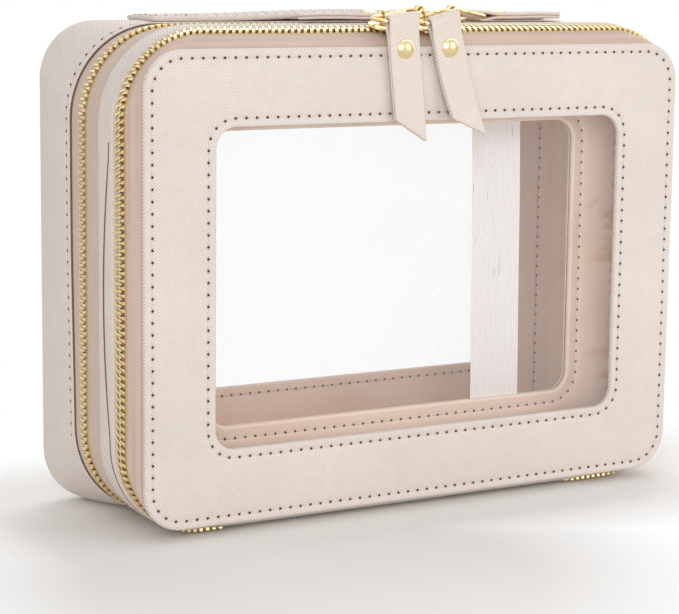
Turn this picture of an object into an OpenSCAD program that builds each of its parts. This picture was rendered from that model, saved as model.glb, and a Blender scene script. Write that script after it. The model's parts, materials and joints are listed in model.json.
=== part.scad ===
// Soft two-compartment make-up train case with a clear window in its lid.
// Millimetres, +Z up. The front lid faces -Y. The origin lies on the base, under the middle of the case.
// y values below are depths behind the front face. A "skin" value is how far a layer lies inside
// the outer face of the zip tapes, so a negative one stands proud of them.

/* [Case] */
// Width of the case over its sides
case_w = 240; // [220:1:280]
// Height of the case from its base to its top
case_h = 178.5; // [160:0.5:210]
// Depth of the case from the lid's face to the back panel's face
case_d = 80; // [76:1:100]
// Corner radius of the case at the zips, seen from the front
case_r = 34; // [28:0.5:38]
// Corner radius of the case at its back
back_r = 21; // [18:0.5:34]

/* [Front lid] */
// How far each side edge of the lid's flat panel lies inside the side of the case
panel_side = 6.3; // [6:0.1:9]
// How far the upper edge of the lid's flat panel lies below the top of the case
panel_drop = 7.5; // [7:0.1:9]
// Corner radius of the lid's panel
panel_r = 14.5; // [12:0.5:18]
// Height of the lower edge of the lid's flat panel above the base
panel_lift = 4.2; // [3.5:0.1:5]
// Width of the bound edge round the lid's panel
edge_w = 1.2; // [1:0.1:2]

/* [Windows] */
// Width of the lid's clear window
lid_window_w = 172.4; // [150:0.2:180]
// Height of the lid's clear window
lid_window_h = 113; // [90:0.5:116]
// Width of the divider's clear window
divider_window_w = 158; // [140:1:170]
// Height of the divider's clear window
divider_window_h = 106.5; // [90:0.5:110]
// Width of the back panel's clear window
back_window_w = 171; // [140:1:176]
// Height of the back panel's clear window
back_window_h = 106.5; // [90:0.5:110]
// Corner radius of the windows
window_r = 7.5; // [5:0.5:10]
// How far each clear sheet runs under its frame
window_lap = 8; // [6:0.5:10]

/* [Layers] */
// Thickness of the embossed leathercloth
cloth_t = 1.0; // [0.8:0.1:1.2]
// Thickness of the clear sheets, and of the board that lies beside them
sheet_t = 0.6; // [0.4:0.1:0.8]
// Thickness of the lining cloth
lining_t = 0.4; // [0.3:0.1:0.6]
// Thickness of the zip tape
tape_t = 0.6; // [0.5:0.1:0.8]
// Thickness of the foam inside the back gusset
foam_t = 1.4; // [1:0.1:2]

/* [Zips] */
// Depth of the front zip's centre line behind the lid's face
front_zip_y = 8.8; // [7.5:0.1:9]
// Depth of the rear zip's centre line behind the lid's face
rear_zip_y = 38.5; // [36:0.5:40]
// Width of a closed metal zip chain
chain_w = 5; // [4.5:0.1:6]
// How far the teeth stand proud of the tape outside
chain_proud = 1.0; // [0.8:0.1:1.0]
// How far the teeth reach inside the tape's outer face
chain_in = 1.4; // [1.2:0.1:1.6]
// Gap between the two rows of teeth
chain_gap = 0.3; // [0.2:0.05:0.4]
// How far the zips run on along the bottom past the left corner
zip_run_left = 7; // [3:0.5:16]
// How far the zips run on along the bottom past the right corner
zip_run_right = 15; // [3:0.5:20]

/* [Middle section] */
// Depth at which the middle band starts
band_y0 = 12.5; // [12.5:0.1:13.5]
// Depth at which the middle band ends
band_y1 = 24.5; // [24:0.5:27]
// Depth of the divider's front face
divider_y = 19.2; // [18.5:0.1:20]
// Width of the elastic band
elastic_w = 22; // [15:0.5:30]
// Distance of the elastic band's centre line to the right of the middle
elastic_x = 44.5; // [-40:0.5:50]
// Thickness of the elastic band
elastic_t = 0.8; // [0.6:0.1:0.9]

/* [Back body] */
// Depth at which the back gusset starts
gusset_y0 = 48.5; // [48:0.5:50]
// Radius of the back gusset's rear edge
gusset_r = 6; // [4:0.5:7]
// How far each end of the carry strap lies inside the side of the case
handle_side = 33.5; // [32:0.5:50]
// How far each long edge of the carry strap lies inside the gusset's flat top
handle_margin = 1.25; // [0.5:0.25:4]
// Thickness of the carry strap
handle_t = 2.2; // [1.8:0.1:3]
// How far the middle of the carry strap stands off the case
handle_rise = 3.4; // [2:0.1:6]
// Length of each sewn-down end of the carry strap
handle_end = 20; // [15:1:25]

/* [Sliders and pulls] */
// Length of a zip slider
slider_l = 13.5; // [12:0.5:15]
// Width of a zip slider
slider_w = 9.6; // [9:0.1:10.5]
// Thickness of a slider's plates
slider_t = 1.2; // [1:0.1:1.4]
// Height of a slider's eye above the tape
eye_h = 5.4; // [5:0.1:6.5]
// Outer radius of a slider's eye
eye_r = 2.1; // [2:0.1:2.4]
// Width of a slider's eye along its hole
eye_w = 2.2; // [2:0.1:2.6]
// Wire radius of the rings
wire_r = 0.8; // [0.7:0.05:0.9]
// Width of a ring between its wire centres
ring_w = 14.8; // [14.4:0.1:16]
// Length of a ring between its wire centres
ring_l = 11.4; // [11.2:0.1:12.5]
// Width of the pulls
pull_w = 12.6; // [11:0.2:13]
// Length of a pull down its short side
pull_short = 35.7; // [30:0.1:42]
// Length of a pull to its tip
pull_long = 45.8; // [43:0.1:55]
// Thickness of a pull
pull_t = 2.3; // [2:0.1:2.6]
// Radius of a rivet's dome
rivet_r = 3.5; // [2.5:0.1:4]
// Distance of the rivet below the ring
rivet_drop = 10.6; // [9:0.1:14]
// Place of the left front slider along the top
front_left_x = -14; // [-60:0.1:-12]
// Place of the right front slider along the top
front_right_x = 3.3; // [2.5:0.1:60]
// Place of the left rear slider along the top
rear_left_x = 19.5; // [-20:0.5:20]
// Place of the right rear slider along the top
rear_right_x = 34; // [33.5:0.5:60]
// Angle in degrees at which the left front pull leans sideways
front_left_lean = 6.5; // [0:0.5:10]
// Angle in degrees at which the right front pull leans sideways
front_right_lean = 15; // [0:0.5:16]

/* [Hidden] */

cream = [0.91, 0.87, 0.83];
tape_pink = [0.80, 0.70, 0.64];
lining_tan = [0.75, 0.65, 0.58];
board_grey = [0.60, 0.58, 0.55];
clear = [0.90, 0.95, 1.0, 0.35];
gold = [0.85, 0.70, 0.38];
white = [0.93, 0.91, 0.90];

// Number of straight pieces in each rounded corner
corner_n = 12;
// Gap between a slider's plates and the teeth
plate_gap = 0.45;
// Clearance between pieces that move past each other
run_gap = 0.3;
// Gap between the lid's half of the zip and its sewn-down lower ends
end_gap = 0.5;
// How far the sewn layers lap under each other
sew_lap = 2.5;
// How far the zip tape reaches behind the lid's panel
flange = 3;
// Run of the wall behind the front of the middle band, until it is straight
flare_run = 1.5;
// How far the middle lining starts behind the straight part, clear of the front sliders
lining_back = 0.5;
// Gap between a stiffening board and the sheet or seam beside it
board_gap = 1;
// How far the middle of the divider's window lies above the middle of the lid's
divider_rise = 0.4;
// How far the elastic's ends stop short of the clear sheet's edge
elastic_short = 2;
// Width of the gusset's flat rim under the back panel, and the number of steps in its bend
rim_w = 4;
bend_steps = 5;
// Step between the gusset's bend and the edge of the back panel
panel_step = 0.5;
// Run over which the loose ends of the lid's zip tape thicken into the row of teeth
cord_run = 0.3;

lid_t = cloth_t + sheet_t + lining_t;
flare_y = band_y0 + flare_run;
front_y0 = front_zip_y - chain_w / 2;
bulge_y = (lid_t + front_y0) / 2;
front_y1 = front_zip_y + chain_w / 2;
rear_y0 = rear_zip_y - chain_w / 2;
rear_y1 = rear_zip_y + chain_w / 2;
back_in = case_d - cloth_t;
// Where the corners begin, and where the zips end at the bottom, left and right of the middle
corner_x = case_w / 2 - case_r;
zip_end_left = corner_x - zip_run_left;
zip_end_right = corner_x - zip_run_right;

// An outline is [half width, half height, corner radius, height of its middle].
panel_h = case_h - panel_lift - panel_drop;
panel = [case_w / 2 - panel_side, panel_h / 2, panel_r, panel_lift + panel_h / 2];
skin_end = [case_w / 2 - chain_proud, case_h / 2 - chain_proud, case_r - chain_proud, case_h / 2];
lid_window = [lid_window_w / 2, lid_window_h / 2, window_r, panel[3]];
divider_opening = [divider_window_w / 2, divider_window_h / 2, window_r, panel[3] + divider_rise];
back_opening = [back_window_w / 2, back_window_h / 2, window_r, case_h / 2];

// Share of the way from the lid's panel to the full case, at depth y
function flare(y) = lookup(y, [
    [lid_t, 0], [bulge_y, 0.4], [front_y0, 0.68], [front_y1, 0.98], [flare_y, 1]
]);
// How much tighter the corners have become at depth y
function tighten(y) = (case_r - back_r) * lookup(y, [[gusset_y0, 0], [back_in - gusset_r, 1]]);
function shrink(o, d) = [o[0] - d, o[1] - d, o[2] - d, o[3]];
function skin(y, d) = shrink(panel + (skin_end - panel) * flare(y) - [0, 0, tighten(y), 0], d);
function arc(cx, cz, r, from, to) =
    [for (i = [0:corner_n]) let (a = from + (to - from) * i / corner_n)
        [cx + r * cos(a), cz + r * sin(a)]];
// The four rounded corners, from the lower left one clockwise as seen from the front
function corners(o) = let (x = o[0] - o[2], z = o[1] - o[2], m = o[3]) concat(
    arc(-x, m - z, o[2], 270, 180),
    arc(-x, m + z, o[2], 180, 90),
    arc(x, m + z, o[2], 90, 0),
    arc(x, m - z, o[2], 0, -90)
);
// The same path with the stretch of the bottom where the zips run on to their ends
function zip_path(o) = concat(
    [[-zip_end_left, o[3] - o[1]]], corners(o), [[zip_end_right, o[3] - o[1]]]
);
function part_of(list, from, to) = [for (i = [from:to]) list[i]];
// A path whose two ends are drawn back by a distance
function drawn_back(path, d) = let (n = len(path) - 1) [for (i = [0:n])
    let (next = i == 0 ? path[1] : path[n - 1])
        i > 0 && i < n ? path[i] : path[i] + (next - path[i]) * d / norm(next - path[i])];
last_zip_point = 4 * (corner_n + 1) + 1;
// Number of the first point up the corner that clears the lid hinge
clear_n = 5;

// Skins a tube whose cross-section runs through the given rows of points. Each row is one line of points
// along the case, given as [depth, path]. The cross-section of an open tube runs out along one face and
// back along the other, so strips between the two faces close its ends.
module skinned(rows, closed) {
    n = len(rows[0][1]);
    m = len(rows);
    points = [for (row = rows) for (p = row[1]) [p[0], row[0], p[1]]];
    steps = closed ? n - 1 : n - 2;
    sides = [
        for (j = [0:m - 1]) for (i = [0:steps])
            let (k = (j + 1) % m, next = (i + 1) % n)
                each [[j * n + i, j * n + next, k * n + next], [j * n + i, k * n + next, k * n + i]]
    ];
    strips = [for (j = [0:m / 2 - 2]) each [[j, j + 1, m - 2 - j], [j, m - 2 - j, m - 1 - j]]];
    caps = closed ? [] : concat(
        [for (t = strips) t * n],
        [for (t = strips) [for (i = [2:-1:0]) t[i] * n + n - 1]]
    );
    polyhedron(points, concat(sides, caps), convexity = 6);
}

// A band all the way round, with a cross-section of [skin, depth] points
module round_band(section) skinned([for (s = section) [s[1], corners(skin(s[1], s[0]))]], true);

// A band along the zip's path, from one of the path's points to another, less a gap at both ends
module zip_band(section, from = 0, to = last_zip_point, gap = 0)
    skinned([for (s = section)
        [s[1], drawn_back(part_of(zip_path(skin(s[1], s[0])), from, to), gap)]], false);

// A band along the bottom between the zip's ends
module bottom_band(section)
    skinned([for (s = section) let (o = skin(s[1], s[0])) [s[1],
        [[-zip_end_left, o[3] - o[1]], [zip_end_right, o[3] - o[1]]]]], false);

// Cross-section of a layer between two skins, through the given depths
function layer(d0, d1, depths) = concat(
    [for (y = depths) [d0, y]],
    [for (i = [len(depths) - 1:-1:0]) [d1, depths[i]]]
);

module plate(o, y0, y1)
    translate([0, y1, 0]) rotate([90, 0, 0]) linear_extrude(y1 - y0) polygon(corners(o));

module frame(outer, inner, y0, y1) difference() {
    plate(outer, y0, y1);
    plate(inner, y0 - 1, y1 + 1);
}

module place() translate([0, -case_d / 2, 0]) children();

// ---- front lid ----
module front_edge_binding() color(cream) place() frame(panel, shrink(panel, edge_w), 0, lid_t);
module front_panel_frame() color(cream) place() frame(shrink(panel, edge_w), lid_window, 0, cloth_t);
module front_frame_board() color(board_grey) place()
    frame(shrink(panel, edge_w + board_gap), shrink(lid_window, -window_lap - board_gap),
        cloth_t, cloth_t + sheet_t);
module front_window() color(clear) place()
    plate(shrink(lid_window, -window_lap), cloth_t, cloth_t + sheet_t);
module front_frame_lining() color(lining_tan) place()
    frame(shrink(panel, edge_w), lid_window, cloth_t + sheet_t, lid_t);

function lid_tape_section() = [
    [flange, lid_t], [0, lid_t], [0, bulge_y], [0, front_y0],
    [tape_t, front_y0], [tape_t, bulge_y + tape_t / 2], [tape_t, lid_t + tape_t], [flange, lid_t + tape_t]
];
function chain_section(y0, y1) = layer(-chain_proud, chain_in, [y0, y1]);
module front_zip_tape_lid() color(tape_pink) place()
    zip_band(lid_tape_section(), clear_n, last_zip_point - clear_n, end_gap);
module front_zip_chain_lid() color(gold) place()
    zip_band(chain_section(front_y0, front_zip_y - chain_gap / 2),
        clear_n, last_zip_point - clear_n, end_gap);

// ---- middle section ----
// Lower ends of the lid's half of the zip, tape and teeth, sewn down beside the hinge strip
function zip_end_section() = concat(
    [[0, lid_t + run_gap], [0, bulge_y], [0, front_y0 - cord_run]],
    chain_section(front_y0, front_zip_y - chain_gap / 2),
    [[tape_t, front_y0 - cord_run], [tape_t, bulge_y], [tape_t, lid_t + run_gap]]
);
module front_zip_end(from, to) color(gold) place() zip_band(zip_end_section(), from, to);
module front_zip_end_left() front_zip_end(0, clear_n);
module front_zip_end_right() front_zip_end(last_zip_point - clear_n, last_zip_point);
module front_zip_chain_middle() color(gold) place()
    zip_band(chain_section(front_zip_y + chain_gap / 2, front_y1));
module front_zip_tape_middle() color(tape_pink) place()
    zip_band(layer(0, tape_t, [front_y1, flare_y, band_y0 + sew_lap]));
module front_hinge_strip() color(cream) place()
    bottom_band(layer(0, tape_t,
        [lid_t + run_gap, bulge_y, front_y0, front_y1, flare_y, band_y0 + sew_lap]));
module middle_band() color(cream) place()
    round_band(layer(-chain_proud, 0, [band_y0, flare_y, band_y1]));
module middle_board() color(board_grey) place()
    round_band(layer(0, tape_t, [band_y0 + sew_lap, band_y1 - sew_lap]));
module middle_lining() color(lining_tan) place()
    round_band(layer(tape_t, 2 * tape_t, [flare_y + lining_back, rear_y0 - run_gap]));

divider_edge = skin(divider_y, 2 * tape_t);
divider_in = divider_y + cloth_t;
divider_sheet_y = divider_in + elastic_t;
divider_back = divider_sheet_y + sheet_t;
module divider_frame_front() color(cream) place()
    frame(divider_edge, divider_opening, divider_y, divider_in);
module divider_board() color(board_grey) place()
    frame(divider_edge, shrink(divider_opening, -window_lap - board_gap), divider_in, divider_back);
module divider_window() color(clear) place()
    plate(shrink(divider_opening, -window_lap), divider_sheet_y, divider_back);
module divider_frame_back() color(lining_tan) place()
    frame(divider_edge, divider_opening, divider_back, divider_back + 2 * lining_t);
// Ribbed band across the window, its ends caught between the divider's layers
elastic_h = divider_window_h + 2 * (window_lap - elastic_short);
module elastic_band() color(white) place()
    translate([elastic_x - elastic_w / 2, divider_in, divider_opening[3] - elastic_h / 2])
        cube([elastic_w, elastic_t, elastic_h]);

module rear_zip_tape_middle() color(tape_pink) place()
    zip_band(layer(0, tape_t, [band_y1 - sew_lap, rear_y0]));
module rear_zip_chain_middle() color(gold) place()
    zip_band(chain_section(rear_y0, rear_zip_y - chain_gap / 2));

// ---- back body ----
module rear_zip_chain_back() color(gold) place()
    zip_band(chain_section(rear_zip_y + chain_gap / 2, rear_y1));
module rear_zip_tape_back() color(tape_pink) place()
    zip_band(layer(0, tape_t, [rear_y1, gusset_y0, gusset_y0 + sew_lap]));
module rear_hinge_strip() color(cream) place()
    bottom_band(layer(-chain_proud, tape_t - chain_proud, [band_y1 + run_gap, gusset_y0]));

// Rounded rear edge of the gusset, from its straight wall to the flat rim under the back panel
function gusset_bend(r) = [for (i = [0:bend_steps]) let (a = 90 * i / bend_steps)
    [gusset_r - chain_proud - r * cos(a), back_in - gusset_r + r * sin(a)]];
rim_d = gusset_r + rim_w;
module back_gusset() color(cream) place() round_band(let (inner = gusset_bend(gusset_r - cloth_t)) concat(
    [[-chain_proud, gusset_y0]],
    gusset_bend(gusset_r),
    [[rim_d, back_in], [rim_d, back_in - cloth_t]],
    [for (i = [bend_steps:-1:0]) inner[i]],
    [[cloth_t - chain_proud, gusset_y0]]
));
module back_gusset_foam() color(board_grey) place()
    round_band(layer(cloth_t - chain_proud, foam_t, [gusset_y0 + sew_lap, back_in - gusset_r]));
module back_gusset_lining() color(lining_tan) place()
    round_band(layer(foam_t, foam_t + lining_t, [gusset_y0 + sew_lap / 2, back_in - gusset_r]));

back_panel_edge = skin(case_d, gusset_r - chain_proud + panel_step);
back_rim = skin(case_d, rim_d + run_gap);
module back_panel_frame() color(cream) place()
    frame(back_panel_edge, back_opening, back_in, case_d);
module back_panel_board() color(board_grey) place()
    frame(back_rim, shrink(back_opening, -window_lap - board_gap), back_in - sheet_t, back_in);
module back_window() color(clear) place()
    plate(shrink(back_opening, -window_lap), back_in - sheet_t, back_in);
module back_panel_lining() color(lining_tan) place()
    frame(back_rim, back_opening, back_in - sheet_t - lining_t, back_in - sheet_t);

// Flat strap, sewn down at both ends and gently arched between them
handle_y0 = gusset_y0 + handle_margin;
handle_y1 = back_in - gusset_r - handle_margin;
handle_l = case_w - 2 * handle_side;
handle_steps = 24;
function handle_lift(x) =
    let (s = handle_l / 2 - handle_end) abs(x) > s ? 0 : handle_rise * (0.5 + 0.5 * cos(180 * x / s));
function handle_line(h) =
    [for (i = [0:handle_steps]) let (x = handle_l * (i / handle_steps - 0.5)) [x, handle_lift(x) + h]];
module carry_handle() color(cream) place() translate([0, handle_y1, case_h])
    rotate([90, 0, 0]) linear_extrude(handle_y1 - handle_y0) polygon(concat(
        handle_line(0),
        [for (i = [handle_steps:-1:0]) handle_line(handle_t)[i]]
    ));

// ---- sliders, rings and pulls ----
// Height of the zip tape's face at the top of the case, at depth y
function top_at(y) = let (o = skin(y, 0)) o[3] + o[1];
front_top = (top_at(front_y0) + top_at(front_y1)) / 2;
front_slope = atan((top_at(front_y1) - top_at(front_y0)) / chain_w);
rear_top = top_at(rear_zip_y);
// Outer radius of the fold that holds the ring's bar
barrel_r = 1.9;
// Radius of a rivet's shank
shank_r = 1.4;
// Height of a rivet's dome, and of the flat cap behind
dome_h = 1.3;
cap_h = 0.8;
// Angle that the front rings droop by, and the one at which their pulls lean back towards the lid
front_dip = 5;
hang_tilt = asin((ring_l * cos(front_dip) - front_zip_y - pull_t / 2 - run_gap) / pull_long);
// Height of a rear ring's bar above the tape, and the angle that it drops to
lay_z = chain_proud + run_gap + barrel_r;
ring_dip = asin((eye_h - lay_z) / ring_l);

module slider_outline() polygon([
    [-slider_l / 2, -slider_w * 0.27], [-slider_l * 0.22, -slider_w / 2], [slider_l * 0.3, -slider_w / 2],
    [slider_l / 2, -slider_w * 0.34], [slider_l / 2, slider_w * 0.34], [slider_l * 0.3, slider_w / 2],
    [-slider_l * 0.22, slider_w / 2], [-slider_l / 2, slider_w * 0.27]
]);

// Top and bottom plates round the chain, with a guide along the row that carries the slider
module slider_plates(guide_y) {
    translate([0, 0, chain_proud + plate_gap]) linear_extrude(slider_t) slider_outline();
    translate([0, 0, -chain_in - plate_gap - slider_t]) linear_extrude(slider_t) slider_outline();
    translate([-slider_l * 0.2, -slider_w / 2, run_gap])
        cube([slider_l * 0.45, slider_w / 2 - guide_y, chain_proud + plate_gap - run_gap]);
}

// Upright eye whose hole runs along X
module slider_eye(base) difference() {
    union() {
        rotate([0, 90, 0]) cylinder(r = eye_r, h = eye_w, center = true, $fn = 32);
        translate([-eye_w / 2, -eye_r, base]) cube([eye_w, 2 * eye_r, -base]);
    }
    rotate([0, 90, 0]) cylinder(r = wire_r + run_gap, h = eye_w + 2, center = true, $fn = 32);
}

eye_base = chain_proud + plate_gap + slider_t / 2 - eye_h;
module front_slider(x, flip) color(gold) place() translate([x, front_zip_y, front_top]) union() {
    rotate([front_slope, 0, 0]) mirror([flip, 0, 0])
        slider_plates(chain_w / 2 / cos(front_slope) + chain_in * sin(front_slope) + run_gap);
    translate([0, 0, eye_h]) slider_eye(eye_base);
}
module rear_slider(x, flip) color(gold) place() translate([x, rear_zip_y, rear_top]) union() {
    mirror([flip, 0, 0]) slider_plates(chain_w / 2 + run_gap);
    translate([0, 0, eye_h]) rotate([0, 0, 90]) slider_eye(eye_base);
}

// Wire ring in the plane of X and Y: its curved back runs through the eye at the origin, and its straight
// bar lies ring_l in front of it.
wire_sides = 10;
ring_steps = 6;
ring_corner = 4.5;
bar_corner = 1.6;
function bend(cx, cy, r, from) =
    [for (i = [0:ring_steps]) let (a = from + 90 * i / ring_steps) [cx + r * cos(a), cy + r * sin(a), a]];
function ring_path() = let (x = ring_w / 2) concat(
    bend(x - ring_corner, -ring_corner, ring_corner, 0),
    bend(-x + ring_corner, -ring_corner, ring_corner, 90),
    bend(-x + bar_corner, -ring_l + bar_corner, bar_corner, 180),
    bend(x - bar_corner, -ring_l + bar_corner, bar_corner, 270)
);
module wire_ring() {
    path = ring_path();
    n = len(path);
    points = [for (p = path) for (j = [0:wire_sides - 1]) let (b = 360 * j / wire_sides)
        [p[0] + wire_r * cos(b) * cos(p[2]), p[1] + wire_r * cos(b) * sin(p[2]), wire_r * sin(b)]];
    faces = [for (i = [0:n - 1]) for (j = [0:wire_sides - 1])
        let (k = (i + 1) % n, m = (j + 1) % wire_sides)
            each [[i * wire_sides + j, k * wire_sides + m, k * wire_sides + j],
                [i * wire_sides + j, i * wire_sides + m, k * wire_sides + m]]];
    polyhedron(points, faces, convexity = 6);
}

// Folded strip with a slanted tip, hanging down from the bar at the origin and facing -Y
module pull_strip() difference() {
    union() {
        translate([0, pull_t / 2, 0]) rotate([90, 0, 0]) linear_extrude(pull_t) polygon([
            [-pull_w / 2, 0], [-pull_w / 2, -pull_short], [pull_w / 2, -pull_long], [pull_w / 2, 0]]);
        rotate([0, 90, 0]) cylinder(r = barrel_r, h = pull_w, center = true, $fn = 32);
    }
    rotate([0, 90, 0]) cylinder(r = wire_r + run_gap, h = pull_w + 2, center = true, $fn = 32);
    translate([0, 0, -rivet_drop]) rotate([90, 0, 0])
        cylinder(r = shank_r, h = pull_t + 2, center = true, $fn = 32);
}

// Rivet through the strip: domed in front, flat behind
module pull_rivet() translate([0, 0, -rivet_drop]) rotate([90, 0, 0])
    rotate_extrude($fn = 32) polygon([
        [0, -pull_t / 2 - cap_h], [rivet_r * 0.8, -pull_t / 2 - cap_h], [rivet_r * 0.8, -pull_t / 2],
        [shank_r, -pull_t / 2], [shank_r, pull_t / 2], [rivet_r, pull_t / 2],
        [rivet_r, pull_t / 2 + dome_h * 0.3], [rivet_r * 0.8, pull_t / 2 + dome_h * 0.75],
        [rivet_r * 0.4, pull_t / 2 + dome_h], [0, pull_t / 2 + dome_h]
    ]);

// Front pulls hang from a drooping ring and rest against the lid
module front_hung(x, lean) place() translate([x, front_zip_y, front_top + eye_h])
    rotate([0, -lean, 0]) rotate([front_dip, 0, 0]) children();
module front_pull(x, lean) front_hung(x, lean) translate([0, -ring_l, 0])
    rotate([hang_tilt - front_dip, 0, 0]) children();
// Rear pulls lie on the top of the case, pointing away from each other
module rear_laid(x, turn) place() translate([x, rear_zip_y, rear_top + eye_h])
    rotate([0, 0, turn]) rotate([ring_dip, 0, 0]) children();
module rear_pull(x, turn) rear_laid(x, turn) translate([0, -ring_l, 0])
    rotate([-90 - ring_dip, 0, 0]) children();

module front_slider_left() front_slider(front_left_x, 0);
module front_ring_left() color(gold) front_hung(front_left_x, front_left_lean) wire_ring();
module front_pull_left() color(cream) front_pull(front_left_x, front_left_lean) pull_strip();
module front_rivet_left() color(gold) front_pull(front_left_x, front_left_lean) pull_rivet();
module front_slider_right() front_slider(front_right_x, 1);
module front_ring_right() color(gold) front_hung(front_right_x, front_right_lean) wire_ring();
module front_pull_right() color(cream) front_pull(front_right_x, front_right_lean) pull_strip();
module front_rivet_right() color(gold) front_pull(front_right_x, front_right_lean) pull_rivet();
module rear_slider_left() rear_slider(rear_left_x, 0);
module rear_ring_left() color(gold) rear_laid(rear_left_x, -90) wire_ring();
module rear_pull_left() color(cream) rear_pull(rear_left_x, -90) pull_strip();
module rear_rivet_left() color(gold) rear_pull(rear_left_x, -90) pull_rivet();
module rear_slider_right() rear_slider(rear_right_x, 1);
module rear_ring_right() color(gold) rear_laid(rear_right_x, 90) wire_ring();
module rear_pull_right() color(cream) rear_pull(rear_right_x, 90) pull_strip();
module rear_rivet_right() color(gold) rear_pull(rear_right_x, 90) pull_rivet();

front_edge_binding();
front_panel_frame();
front_frame_board();
front_window();
front_frame_lining();
front_zip_tape_lid();
front_zip_chain_lid();
front_zip_tape_middle();
front_zip_chain_middle();
front_zip_end_left();
front_zip_end_right();
front_hinge_strip();
middle_band();
middle_board();
middle_lining();
divider_frame_front();
divider_board();
divider_window();
divider_frame_back();
elastic_band();
rear_zip_tape_middle();
rear_zip_chain_middle();
rear_zip_chain_back();
rear_zip_tape_back();
rear_hinge_strip();
back_gusset();
back_gusset_foam();
back_gusset_lining();
back_panel_frame();
back_window();
back_panel_board();
back_panel_lining();
carry_handle();
front_slider_left();
front_ring_left();
front_pull_left();
front_rivet_left();
front_slider_right();
front_ring_right();
front_pull_right();
front_rivet_right();
rear_slider_left();
rear_ring_left();
rear_pull_left();
rear_rivet_left();
rear_slider_right();
rear_ring_right();
rear_pull_right();
rear_rivet_right();
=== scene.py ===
# %% [markdown]
# # A clear-window make-up case, dressed for its portrait
#
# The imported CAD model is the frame: its solids say where every layer of the case lies and which of them
# move together. This notebook sews the visible case over that frame. It makes the embossed covers, the
# clear sheets, the zips with every single tooth, the stitches, the pulls and the straps, and then gives
# each of them the finish of the real material.

# %% Load the frame
import json
import math

import bmesh
import bpy
from mathutils import Matrix, Vector, noise

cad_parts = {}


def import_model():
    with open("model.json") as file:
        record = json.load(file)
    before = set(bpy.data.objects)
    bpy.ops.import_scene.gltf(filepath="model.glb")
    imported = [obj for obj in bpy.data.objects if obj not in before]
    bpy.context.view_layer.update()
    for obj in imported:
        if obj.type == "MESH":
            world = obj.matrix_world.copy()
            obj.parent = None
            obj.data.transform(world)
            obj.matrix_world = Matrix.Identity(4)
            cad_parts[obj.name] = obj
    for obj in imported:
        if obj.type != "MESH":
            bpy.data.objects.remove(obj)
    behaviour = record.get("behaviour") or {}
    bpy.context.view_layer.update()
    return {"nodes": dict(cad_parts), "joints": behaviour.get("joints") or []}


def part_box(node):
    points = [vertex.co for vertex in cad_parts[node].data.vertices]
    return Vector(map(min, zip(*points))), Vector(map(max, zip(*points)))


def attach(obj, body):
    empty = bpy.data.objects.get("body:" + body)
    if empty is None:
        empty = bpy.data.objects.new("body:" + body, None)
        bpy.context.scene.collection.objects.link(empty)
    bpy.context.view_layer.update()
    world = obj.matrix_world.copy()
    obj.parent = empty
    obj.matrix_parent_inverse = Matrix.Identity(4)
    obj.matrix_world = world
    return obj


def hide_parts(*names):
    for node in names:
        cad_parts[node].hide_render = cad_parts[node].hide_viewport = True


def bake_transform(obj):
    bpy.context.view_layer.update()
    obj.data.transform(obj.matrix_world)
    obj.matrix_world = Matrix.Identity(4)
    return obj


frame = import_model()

MM = 0.001
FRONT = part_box("front_edge_binding")[0].y / MM
joints = {joint["name"]: joint for joint in frame["joints"]}
print(f"lid face at y = {FRONT:.1f} mm, {len(frame['nodes'])} CAD nodes, {len(joints)} joints")


# %% [markdown]
# ## Measuring on the case
#
# A case like this is one rounded outline, repeated: the lid's panel, the walls, the windows and every seam
# follow it. So an outline is kept as half width, half height, corner radius and height of its middle, all
# in millimetres. A place on it is a "share" from 0 to 9: it starts at the middle of the bottom, goes left,
# up, across the top and back, and each straight stretch or corner takes one unit. Two outlines of different
# size then match point for point, which is what makes smooth walls between them.

# %% Outlines
LEGS = 9


def outline_of(node, radius):
    lo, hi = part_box(node)
    return ((hi.x - lo.x) / 2 / MM, (hi.z - lo.z) / 2 / MM, radius, (hi.z + lo.z) / 2 / MM)


def grown(outline, by):
    half_w, half_h, radius, middle = outline
    return (half_w + by, half_h + by, radius + by, middle)


def between(a, b, share):
    return tuple(u + (v - u) * share for u, v in zip(a, b))


def spot(outline, share):
    """The point (x, z) on an outline and its outward direction."""
    half_w, half_h, radius, middle = outline
    a, b = half_w - radius, half_h - radius
    stops = ((0, -b), (-a, -b), (-a, b), (a, b), (a, -b), (0, -b))
    share = share % LEGS
    leg = int(share)
    part = share - leg
    stop = (leg + 1) // 2
    cx, cz = stops[stop]
    angle = 270 - 90 * stop
    if leg % 2:
        angle += 90 * (1 - part)
    else:
        cx += (stops[stop + 1][0] - cx) * part
        cz += (stops[stop + 1][1] - cz) * part
    out_x, out_z = math.cos(math.radians(angle)), math.sin(math.radians(angle))
    return (cx + radius * out_x, middle + cz + radius * out_z), (out_x, out_z)


def legs_of(outline):
    half_w, half_h, radius, _ = outline
    a, b, turn = half_w - radius, half_h - radius, math.pi / 2 * radius
    return [a, turn, 2 * b, turn, 2 * a, turn, 2 * b, turn, a]


def share_at(outline, distance):
    """The share that lies a distance along the outline from the middle of the bottom."""
    for leg, length in enumerate(legs_of(outline)):
        if distance <= length:
            return leg + distance / length
        distance -= length
    return float(LEGS)


def stations(outline, pitch, start=0.0, end=None, phase=0.5):
    """Shares spaced evenly along an outline, at a pitch that fits a whole number of times."""
    end = sum(legs_of(outline)) if end is None else end
    count = round((end - start) / pitch)
    step = (end - start) / count
    return [share_at(outline, start + (i + phase) * step) for i in range(count)]


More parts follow.
